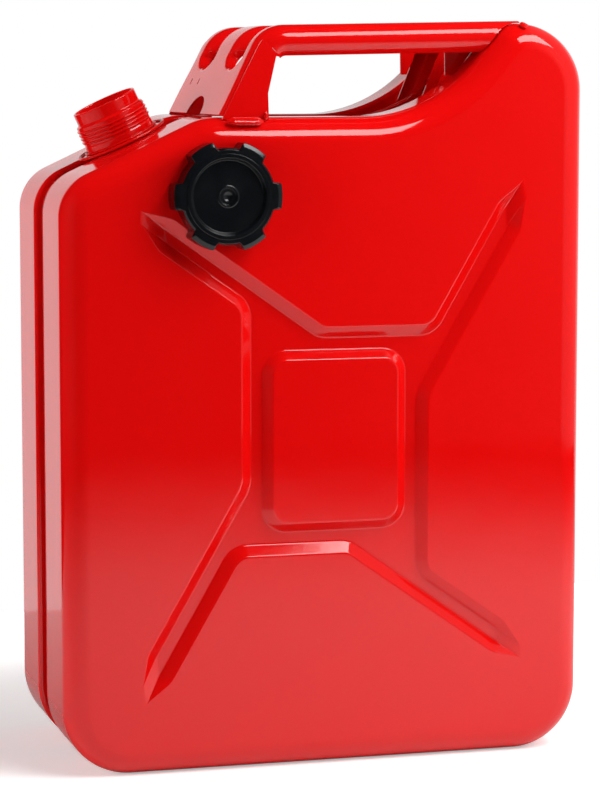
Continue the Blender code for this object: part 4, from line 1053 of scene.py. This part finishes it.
def handle_sheet():
    """The pressing: plate and bars flat in (u, y), edges turned in, then bent along its side view."""
    leg = leg_to_floor(0, 0)[0] + GROOVE_BEND
    leg_start = bar_at(LEG_BEND_X)
    leg_length = LEG_BEND * (LEG_TURN + BAR_SLOPE)
    leg_end = leg_start + leg_length + leg
    bar_end = bar_at(BAR_END_X)
    outer_path = [(PLATE_LENGTH, 0), (BEND_LENGTH, BEND_TURN), (1, 0)]
    leg_path = outer_path[:2] + [(leg_start - BAR_START, 0), (leg_length, LEG_TURN + BAR_SLOPE), (leg, 0)]
    taper_start = leg_start - LEG_TAPER
    tab_start = bar_at(TAB_START_X)
    end_points = slot_end()
    slot_start = end_points[0][0]
    full_from = BAR_START + BAR_DEPTH
    slot_side = SLOT_HALF + SLOT_ROLL[1]
    leg_side = SLOT_HALF + LEG_EDGE

    far_side = [(u, HANDLE_HALF_WIDTH - side_radius(u)) for u in (0, ROLL_START, NOTCH_AT, bar_end)]
    side_end = far_side[-1][1]
    arch_angles = [math.pi * k / ARCH_STEPS for k in range(ARCH_STEPS + 1)]
    arch = [(PLATE_ARCH_HEIGHT * math.sin(a), -PLATE_ARCH_HALF * math.cos(a)) for a in arch_angles]
    outline = [(0, -far_side[0][1]), *arch, *far_side, (bar_end, SLOT_Y + slot_side)]
    outline += [(u, SLOT_Y + y) for u, y, _, _ in end_points]
    leg_edge = [(taper_start, slot_side), (leg_start, leg_side), (leg_end, leg_side)]
    outline += [(u, SLOT_Y - side) for u, side in leg_edge]
    outline += [(u, side - SLOT_Y) for u, side in reversed(leg_edge)]
    outline += [(u, y - SLOT_Y) for u, y, _, _ in end_points]
    outline += [(bar_end, -SLOT_Y - slot_side)]
    outline += [(u, -y) for u, y in reversed(far_side[1:])]
    bm = bmesh.new()
    verts = [bm.verts.new((u, y, 0)) for u, y in outline]
    bmesh.ops.triangle_fill(bm, edges=edges_of(bm, verts), use_beauty=True, normal=(0, 0, 1))
    bends, bars, legs, tapers = HANDLE_STEPS
    stations = [PLATE_LENGTH + BEND_LENGTH * k / bends for k in range(bends + 1)]
    stations += [BAR_START + BAR_DEPTH * k / bars for k in range(1, bars + 1)]
    stations += [NOTCH_AT, tab_start, taper_start]
    stations += [leg_start + leg_length * k / legs for k in range(legs + 1)]
    stations += [leg_start - LEG_TAPER * k / tapers for k in range(1, tapers)]
    for u in stations:
        geometry = bm.verts[:] + bm.edges[:] + bm.faces[:]
        bmesh.ops.bisect_plane(bm, geom=geometry, plane_co=(u, 0, 0), plane_no=(1, 0, 0), dist=0.00001)

    def at_side(vert):
        return abs(vert.co.y) > side_end - FIT

    def rounding(vert):
        """Direction in (u, y) from a boundary vertex off the sheet, and the radius of the edge there."""
        u, y = vert.co.x, vert.co.y
        side = math.copysign(1, y)
        if at_side(vert):
            return Vector((0, side)), side_radius(u)
        off = y - side * SLOT_Y
        if u < slot_start + SNAP:
            nearest = min(end_points, key=lambda point: (point[0] - u) ** 2 + (point[1] - off) ** 2)
            return nearest[2:]
        return Vector((0, -math.copysign(1, off))), abs(off) - SLOT_HALF

    def wall_depth(u, y, radius, tab):
        """Depth of a slot's turned-in wall, which differs between plate, bars and leg."""
        middle = abs(y) < SLOT_Y
        low = radius + SLOT_LIP
        if u <= slot_start:
            return low
        if u < full_from:
            return low + (BAR_DEPTH - low) * smooth((u - NOTCH_AT) / (full_from - NOTCH_AT))
        if middle and u > taper_start:
            share = min(1, (u - taper_start) / LEG_TAPER)
            return BAR_DEPTH + (LEG_LIP - BAR_DEPTH) * share
        return TAB_DEPTH if tab and not middle else BAR_DEPTH

    def turned_in(edge):
        """True for the edges that get a wall: the sides and the slots, not the foot or the bars' ends."""
        if len(edge.link_faces) != 1:
            return False
        a, b = edge.verts
        side = at_side(a) and at_side(b)
        low = max(a.co.x, b.co.x) < PLATE_ARCH_HEIGHT + SNAP
        at_end = min(a.co.x, b.co.x) > bar_end - SNAP and abs(a.co.x - b.co.x) < SNAP
        return not at_end and (side or not low)

    walls = [edge for edge in bm.edges if turned_in(edge)]
    rings = {}
    for vert in dict.fromkeys(vert for edge in walls for vert in edge.verts):
        way, radius = rounding(vert)
        u, y = vert.co.x, vert.co.y
        ring = [vert]
        side = at_side(vert)
        rolled_on = side and u > NOTCH_AT - SNAP
        full = round(ROLL_STEPS * ROLL_TURN / QUARTER) if rolled_on else ROLL_STEPS
        for k in range(1, full + 1):
            angle = QUARTER * k / ROLL_STEPS
            out = way * radius * math.sin(angle)
            ring.append(bm.verts.new((u + out.x, y + out.y, -radius * (1 - math.cos(angle)))))
        last = ring[-1].co
        if side:
            lip = (BAR_DEPTH - radius * (1 - math.cos(ROLL_TURN))) / math.sin(ROLL_TURN)
            out = way * lip * math.cos(ROLL_TURN)
            ring.append(bm.verts.new((last.x + out.x, last.y + out.y, -BAR_DEPTH)))
        else:
            for tab in (False, True):
                ring.append(bm.verts.new((last.x, last.y, -wall_depth(u, y, radius, tab))))
        rings[vert] = ring
    for edge in walls:
        face = edge.link_faces[0]
        loop = next(loop for loop in face.loops if loop.edge == edge)
        a, b = loop.link_loop_next.vert, loop.vert
        first, second = rings[a], rings[b]
        side = at_side(a)
        plate_side = side and min(a.co.x, b.co.x) < NOTCH_AT - SNAP
        rows = list(range(ROLL_STEPS + 1 if plate_side or not side else len(first)))
        if not side:
            beyond = min(a.co.x, b.co.x) > tab_start - SNAP
            rows.append(ROLL_STEPS + (2 if beyond and abs(a.co.y) > SLOT_Y else 1))
        for k, after in zip(rows, rows[1:]):
            bm.faces.new((first[k], first[after], second[after], second[k])).normal_update()
    bmesh.ops.delete(bm, geom=[v for v in bm.verts if not v.link_faces], context="VERTS")
    for vert in bm.verts:
        u, y, depth = vert.co.x, vert.co.y, -vert.co.z
        point, normal = along_path(leg_path if abs(y) < SLOT_Y and u > slot_start else outer_path, u)
        place = point - normal * depth
        vert.co = (place.x, y, place.y)
    bmesh.ops.recalc_face_normals(bm, faces=bm.faces)
    bm.faces.ensure_lookup_table()
    top = max(bm.faces, key=lambda face: abs(face.normal.z) * face.calc_area())
    if top.normal.z < 0:
        bmesh.ops.reverse_faces(bm, faces=bm.faces)
    return bm


def sweep_cutter(height, spans):
    """Trims the handle to the sweep and the hump, moved out by height, over the given spans of Y."""
    bm = bmesh.new()
    near, far = SWEEP_X - SWEEP_RADIUS / 2, BAR_END_X + HUMP_START_RADIUS
    points = can_outline(stations=False)
    outline = [p + n * height for p, n in points if p.y > TOP_HEIGHT - MM and near < p.x < far]
    outline += [Vector((p.x, TOP_HEIGHT - 3 * GROOVE_DEPTH)) for p in (outline[-1], outline[0])]
    for span in spans:
        prism(bm, outline, span)
    return cutter_of(bm)


def plate_slits():
    bm = bmesh.new()
    x = PLATE_FOOT_X + (SLIT_HEIGHT - PLATE_FOOT_Z + TOP_HEIGHT) / math.tan(PLATE_ANGLE)
    for y in SLIT_Y:
        size = (12 * MM, SLIT[0], SLIT[1])
        matrix = Matrix.Translation((x, y, TOP_HEIGHT + SLIT_HEIGHT)) @ Matrix.Diagonal((*size, 1))
        bmesh.ops.create_cube(bm, size=1, matrix=matrix)
    return cutter_of(bm)


def make_handle():
    handle = sheet_object("handle_skin", handle_sheet(), ENAMEL)
    thicken(handle, HANDLE_SHEET)
    bars = (TROUGH_HALF + LIP_RADIUS, HALF_DEPTH + EDGE_RADIUS)
    floor = TROUGH_HALF - 2 * GROOVE_BEND
    slit = FLANGE_Y + GROOVE_BEND + FIT
    over_bead = FLANGE_TOP + 2 * SEAM_BEAD + 3 * FIT
    cut(
        handle,
        sweep_cutter(FIT, (bars, (-bars[1], -bars[0]))),
        sweep_cutter(FIT - GROOVE_DEPTH, ((-floor, floor),)),
        sweep_cutter(over_bead, ((-slit, slit),)),
        plate_slits(),
    )
    rounded_edges(handle, 0.3 * MM)
    bake(handle)
    worn(handle, IN_CAN, "can", "handle_pressing", SHEET_CREASE)

    centre = Vector((BEND_CENTRE_X, BEND_CENTRE_Z))
    radius = PLATE_BEND - GUSSET_INSET
    inner = HANDLE_HALF_WIDTH + FIT
    clear = inner - HALF_DEPTH + EDGE_RADIUS
    bottom = TOP_HEIGHT - EDGE_RADIUS + math.sqrt((EDGE_RADIUS + FIT) ** 2 - clear**2)
    slope = heading(PLATE_ANGLE)
    first = centre + left_of(slope) * radius
    foot = first - slope * (first.y - bottom) / slope.y
    angles = [PLATE_ANGLE + (GUSSET_TOP - PLATE_ANGLE) * k / GUSSET_STEPS for k in range(GUSSET_STEPS + 1)]
    outline = [foot] + [centre + left_of(heading(a)) * radius for a in angles]
    outline.append(centre + left_of(heading(GUSSET_TOP)) * GUSSET_NOSE_RADIUS)
    outline.append(centre + Vector((-GUSSET_CHIN[0], GUSSET_CHIN[1])))
    outline.append(Vector((PLATE_FOOT_X + GUSSET_WAIST[0], TOP_HEIGHT + GUSSET_WAIST[1])))
    outline.append(Vector((PLATE_FOOT_X + GUSSET_FOOT, bottom)))
    for name, side in (("front_gusset", -1), ("rear_gusset", 1)):
        bm = bmesh.new()
        prism(bm, outline, (side * (inner + HANDLE_SHEET), side * inner))
        bmesh.ops.recalc_face_normals(bm, faces=bm.faces)
        gusset = sheet_object(name + "_plate", bm, ENAMEL)
        rounded_edges(gusset, 0.15 * MM)
        bake(gusset)
        worn(gusset, IN_CAN, "can", name, SHEET_CREASE)


def lying_weld(name, size, place, turn, seed):
    """A short weld run as a rippled pillow, along X or, for a stub, up the edge it closes."""
    half, thick, high = size
    upright = high > half
    length, broad = (high, half) if upright else (half, high)
    ends = [(-length + broad / 4, 0, 0), (length - broad / 4, 0, 0)]
    flat = Matrix.Diagonal((1, 1, thick / broad, 1))
    stand = Matrix.Rotation(QUARTER, 4, "Z") if upright else Matrix.Identity(4)
    face = Matrix.Translation(place) @ Matrix.Rotation(turn + QUARTER, 4, "X")
    look = {"pitch": 2.6, "height": 0.35, "taper": broad * 1.2 / MM, "seed": seed}
    weld(name + "_run", ends, broad, name, matrix=face @ stand @ flat, **look)


def edge_weld(name, size, x, top, turn, side, seed):
    """A weld run lying on the shells' edge rounding, turned down from the top by an angle."""
    out = EDGE_RADIUS + FIT + size[1]
    y = HALF_DEPTH - EDGE_RADIUS + out * math.sin(turn)
    z = top - EDGE_RADIUS + out * math.cos(turn)
    lying_weld(name, size, (x, side * y, z), side * (QUARTER - turn), seed)


def make_handle_welds():
    off = FIT + LEG_WELD
    length, start = leg_to_floor(off, off)
    foot = start + heading(-LEG_TURN) * length
    for index, (name, side) in enumerate((("front", -1), ("rear", 1))):
        seed = 10 + 7 * index
        x = PLATE_FOOT_X + FOOT_WELD_AT
        edge_weld(name + "_foot_weld", FOOT_WELD, x, TOP_HEIGHT, FOOT_WELD_TURN, side, seed)
        x = BAR_END_X
        edge_weld(name + "_bar_end_weld", BAR_WELD, x, HUMP_HEIGHT, BAR_WELD_TURN, side, seed + 1)
        x = PLATE_FOOT_X + GUSSET_FOOT - EDGE_WELD_AT
        y = HANDLE_HALF_WIDTH + HANDLE_SHEET + 2 * FIT + EDGE_WELD[1]
        across = y - EDGE_WELD[1] / 2 - HALF_DEPTH + EDGE_RADIUS
        z = TOP_HEIGHT - EDGE_RADIUS + math.sqrt((EDGE_RADIUS + FIT) ** 2 - across**2) + EDGE_WELD[2]
        lying_weld(name + "_edge_weld", EDGE_WELD, (x, side * y, z), 0, seed + 2)
        points = [(foot.x, side * y, foot.y) for y in LEG_WELD_SPAN]
        weld(name + "_leg_run", points, LEG_WELD, name + "_leg_weld", seed=seed + 3)


# Cap: in its own frame Z is its axis and points away from the can, and Z = 0 is its open rim


def cap_frame():
    place = Vector((CAP_PLACE[0] - HALF_WIDTH, -HALF_DEPTH - FIT, TOP_HEIGHT - CAP_PLACE[1]))
    return IN_CAN @ Matrix.Translation(place) @ Matrix.Rotation(QUARTER, 4, "X")


def lug_share(angle):
    """How far the cap's side stands out at an angle: 1 on a lug, 0 between lugs, eased at the flanks."""
    between = 2 * math.pi / LUG_COUNT
    off = abs((angle + between / 2) % between - between / 2)
    return smooth((LUG_HALF_ANGLE - off) / LUG_FLANK)


def make_cap():
    place = cap_frame()
    disc = CAP_HEIGHT - DISC_DEPTH
    ceiling = disc - CAP_TOP_THICKNESS
    pocket = MAGNET_RADIUS + FIT
    land = DISC_RADIUS + DISC_DEPTH / 2
    section = [
        (PIT_RADIUS - 0.8 * MM, disc - 1.5 * MM, 0),
        (PIT_RADIUS, disc - 0.8 * MM, 0.3 * MM),
        (DIMPLE_RADIUS - 1.2 * MM, disc - 0.8 * MM, 0.3 * MM),
        (DIMPLE_RADIUS - 0.5 * MM, disc + 0.25 * MM, 0.25 * MM),
        (DIMPLE_RADIUS + 0.4 * MM, disc + 0.25 * MM, 0.25 * MM),
        (DIMPLE_RADIUS + 0.9 * MM, disc, 0.3 * MM),
        (DISC_RADIUS, disc, 0.5 * MM),
        (land, CAP_HEIGHT, 0.5 * MM),
        (RIM_OUTER - 0.5 * MM, CAP_HEIGHT, 0.15 * MM),
        (RIM_OUTER - 0.2 * MM, CAP_HEIGHT - 0.45 * MM, 0.1 * MM),
        (CAP_RADIUS - 1.1 * MM, CAP_HEIGHT - 0.45 * MM, 0.5 * MM),
        (CAP_RADIUS, CAP_HEIGHT - 1.8 * MM, 0.9 * MM),
        (CAP_RADIUS, 0, 0.8 * MM),
        (CAP_BORE + 0.8 * MM, 0, 0.3 * MM),
        (CAP_BORE, 0.8 * MM, 0.3 * MM),
        (CAP_BORE, ceiling, 0.8 * MM),
        (BOSS_RADIUS, ceiling, 0.8 * MM),
        (BOSS_RADIUS, 0, 0.4 * MM),
        (pocket, 0, 0.2 * MM),
        (pocket, MAGNET_HEIGHT + FIT, 0),
    ]
    points = [p for p, _ in rounded(section, closed=False, step=math.radians(18))]
    bm = bmesh.new()
    rings = []
    for point in points:
        share = min(1, max(0, (point.x - RIM_OUTER) / (CAP_RADIUS - RIM_OUTER)))
        stand_out = (LUG_RADIUS - CAP_RADIUS) * share
        ring = []
        for k in range(CAP_SIDES):
            angle = 2 * math.pi * k / CAP_SIDES
            out = point.x + stand_out * lug_share(angle)
            ring.append(bm.verts.new((out * math.cos(angle), out * math.sin(angle), point.y)))
        rings.append(ring)
    bands(bm, rings)
    for ring, height in ((rings[0], disc - 1.7 * MM), (rings[-1], MAGNET_HEIGHT + FIT)):
        centre = bm.verts.new((0, 0, height))
        strip(bm, ring + ring[:1], [centre] * (len(ring) + 1))
    bmesh.ops.recalc_face_normals(bm, faces=bm.faces)
    cap = sheet_object("lugged_cap", bm, CAP_PLASTIC)
    values = {
        "Root radius": CAP_BORE,
        "Ridge": 0.4 * MM,
        "Turns": 3.5,
        "Start height": 2 * MM,
        "Finish": CAP_PLASTIC,
    }
    grown(cap, THREAD, values)
    worn(cap, place, "cap", "cap_body", CAP_CREASE)

    outer, top = CAP_BORE - FIT, ceiling - FIT
    inner, low = outer - GASKET_WIDTH, top - GASKET_HEIGHT
    corners = [(outer, top, 0.3 * MM), (outer, low, 0.3 * MM), (inner, low, 0.3 * MM), (inner, top, 0.3 * MM)]
    gasket = sheet_object("gasket_ring", turned(corners, math.radians(30)), RUBBER)
    worn(gasket, place, "cap", "cap_gasket", CAP_CREASE)

    edge = 0.3 * MM
    corners = [(0, MAGNET_HEIGHT, 0), (MAGNET_RADIUS, MAGNET_HEIGHT, edge)]
    corners += [(MAGNET_RADIUS, 0, edge), (0, 0, 0)]
    rows = [(p.x, p.x, p.y) for p, _ in rounded(corners, closed=False, step=math.radians(30))]
    bm = ring_sheet(rows[1:-1], RING_SIDES)
    rims = [rim for rim in bm.edges if len(rim.link_faces) == 1]
    bmesh.ops.holes_fill(bm, edges=rims)
    bmesh.ops.recalc_face_normals(bm, faces=bm.faces)
    magnet = sheet_object("magnet_disc", bm, NICKEL)
    worn(magnet, place, "cap_holder", "cap_magnet", CAP_CREASE)


# Floor, light and camera

TABLE_RADIUS = 1.7
TABLE_END = 0.5  # the table is cut off straight this far behind the object
BACK_WALL = 0.78  # strength of each wall's light
RIGHT_WALL = 0.35
LEFT_WALL = 3.6
DARK_ROOM = (0.04, 0.01)  # what the room adds to lit surfaces alone, and to these and reflections
CAMERA_PLACE = (-0.511, -1.823 + BODY_Y, 0.447)
CAMERA_PAN = 15.74  # degrees to the left of square on
CAMERA_TILT = 6.51  # degrees down
SENSOR = 36  # millimetres, along the photograph's long side
PHOTO_HEIGHT = 792  # pixels
FOCAL_LENGTH = 2864  # pixels


def make_world():
    """White walls behind the object, a grey one on its right, a dark room elsewhere, white for the camera.

    A wall on the left lights the object but shows in no reflection.
    """
    world = bpy.data.worlds.new("studio")
    bpy.context.scene.world = world
    world.use_nodes = True
    tree = world.node_tree
    tree.nodes.clear()
    way = add(tree, "ShaderNodeTexCoord").outputs["Generated"]
    axes = add(tree, "ShaderNodeSeparateXYZ", {0: way}).outputs
    aside = add(tree, "ShaderNodeMath", {0: axes["X"], 1: 0.39}, operation="MULTIPLY")
    backward = add(tree, "ShaderNodeMath", {0: axes["Y"], 1: 0.92, 2: aside}, operation="MULTIPLY_ADD")
    behind, low, right, left = [
        add(tree, "ShaderNodeMapRange", {"Value": value, 1: start, 2: end}, interpolation_type="SMOOTHSTEP")
        for value, start, end in (
            (backward, 0.62, 0.76),
            (axes["Z"], 0.46, 0.34),
            (axes["X"], 0.25, 0.6),
            (axes["X"], -0.7, -0.95),
        )
    ]
    rays = add(tree, "ShaderNodeLightPath").outputs
    right_wall = add(tree, "ShaderNodeMath", {0: right, 1: RIGHT_WALL}, operation="MULTIPLY")
    side_light = {0: left, 1: LEFT_WALL, 2: DARK_ROOM[0]}
    left_wall = add(tree, "ShaderNodeMath", side_light, operation="MULTIPLY_ADD")
    unseen = {0: rays["Is Diffuse Ray"], 1: left_wall, 2: DARK_ROOM[1]}
    fill_light = add(tree, "ShaderNodeMath", unseen, operation="MULTIPLY_ADD")
    light = behind
    for operation, other in (
        ("MULTIPLY", low),
        ("MULTIPLY", BACK_WALL),
        ("MAXIMUM", right_wall),
        ("ADD", fill_light),
    ):
        light = add(tree, "ShaderNodeMath", {0: light, 1: other}, operation=operation)
    strength = add(tree, "ShaderNodeMix", {"Factor": rays["Is Camera Ray"], 2: light, 3: 1.0})
    shade = add(tree, "ShaderNodeBackground", {"Color": (1, 1, 1, 1), "Strength": strength})
    add(tree, "ShaderNodeOutputWorld", {"Surface": shade}, is_active_output=True)


def make_floor():
    """A round table of matt white paper. The camera sees it as white, apart from the object's shadow."""
    bm = bmesh.new()
    bmesh.ops.create_circle(bm, cap_ends=True, segments=RING_SIDES, radius=TABLE_RADIUS)
    geometry = bm.verts[:] + bm.edges[:] + bm.faces[:]
    behind = (0, TABLE_END, 0)
    bmesh.ops.bisect_plane(bm, geom=geometry, plane_co=behind, plane_no=(0, 1, 0), clear_outer=True)
    paper, tree, shader, place = new_finish("matt_white_paper")
    fibre = add(tree, "ShaderNodeTexNoise", {"Vector": place, "Scale": per_metre(4), "Detail": 3})
    tones = {"Factor": fibre, 6: linear("F0F0EF"), 7: linear("F5F5F4")}
    tone = add(tree, "ShaderNodeMix", tones, data_type="RGBA").outputs[2]
    away = add(tree, "ShaderNodeVectorMath", {0: place}, operation="LENGTH").outputs["Value"]
    seen = add(tree, "ShaderNodeLightPath").outputs["Is Camera Ray"]
    far, near = [
        add(tree, "ShaderNodeMapRange", {"Value": away, 1: start, 2: end}, interpolation_type="SMOOTHSTEP")
        for start, end in ((0.25, 0.5), (1.6, 0.6))
    ]
    glow = add(tree, "ShaderNodeMath", {0: far, 1: 0.65, 2: 0.4}, operation="MULTIPLY_ADD")
    # Towards its edge the paper turns black for all but the camera, so that no edge shows in the enamel
    lit = add(tree, "ShaderNodeMath", {0: seen, 1: near}, operation="MAXIMUM")
    faded = add(tree, "ShaderNodeMix", {"Factor": lit, 6: (0, 0, 0, 1), 7: tone}, data_type="RGBA")
    strength = add(tree, "ShaderNodeMath", {0: seen, 1: glow}, operation="MULTIPLY")
    look = {"Base Color": faded.outputs[2], "Emission Color": (1, 1, 1, 1), "Emission Strength": strength}
    join(shader, {"Roughness": 0.9, "Specular IOR Level": 0.1, **look})
    sheet_object("floor", bm, paper)


def area_light(name, place, target, size, radiance, reflected=True):
    """A soft box at place, facing target, as bright as radiance when white paper lit plainly is 1."""
    lamp = bpy.data.lights.new(name, "AREA")
    lamp.shape = "RECTANGLE"
    lamp.size, lamp.size_y = size
    lamp.energy = radiance * math.pi * size[0] * size[1]
    made = bpy.data.objects.new(name, lamp)
    made.location = place
    made.rotation_euler = (Vector(place) - Vector(target)).to_track_quat("Z", "Y").to_euler()
    made.visible_camera = False
    made.visible_glossy = reflected
    bpy.context.scene.collection.objects.link(made)


def make_camera():
    """The photograph's angle and focal length."""
    camera = bpy.data.cameras.new("camera")
    camera.sensor_width = SENSOR
    camera.lens = SENSOR * FOCAL_LENGTH / PHOTO_HEIGHT
    made = bpy.data.objects.new("camera", camera)
    made.location = CAMERA_PLACE
    made.rotation_euler = (math.radians(90 - CAMERA_TILT), 0, math.radians(-CAMERA_PAN))
    bpy.context.scene.collection.objects.link(made)
    bpy.context.scene.camera = made


make_shells()
make_seam_bead()
make_neck()
make_handle()
make_handle_welds()
make_cap()
make_world()
make_floor()
area_light("soft_box", (0.55, -0.75, 1.27), (0, -0.08, 0.41), (0.9, 0.5), 8.1)
area_light("side_box", (0.8, -0.55, 0.6), (0.1, -0.08, 0.25), (0.5, 0.5), 5.2, reflected=False)
area_light("ceiling_box", (0.7, -0.4, 2), (0.2, -0.3, 0), (1, 1), 4.2, reflected=False)
make_camera()
bpy.context.scene.view_settings.view_transform = "Standard"
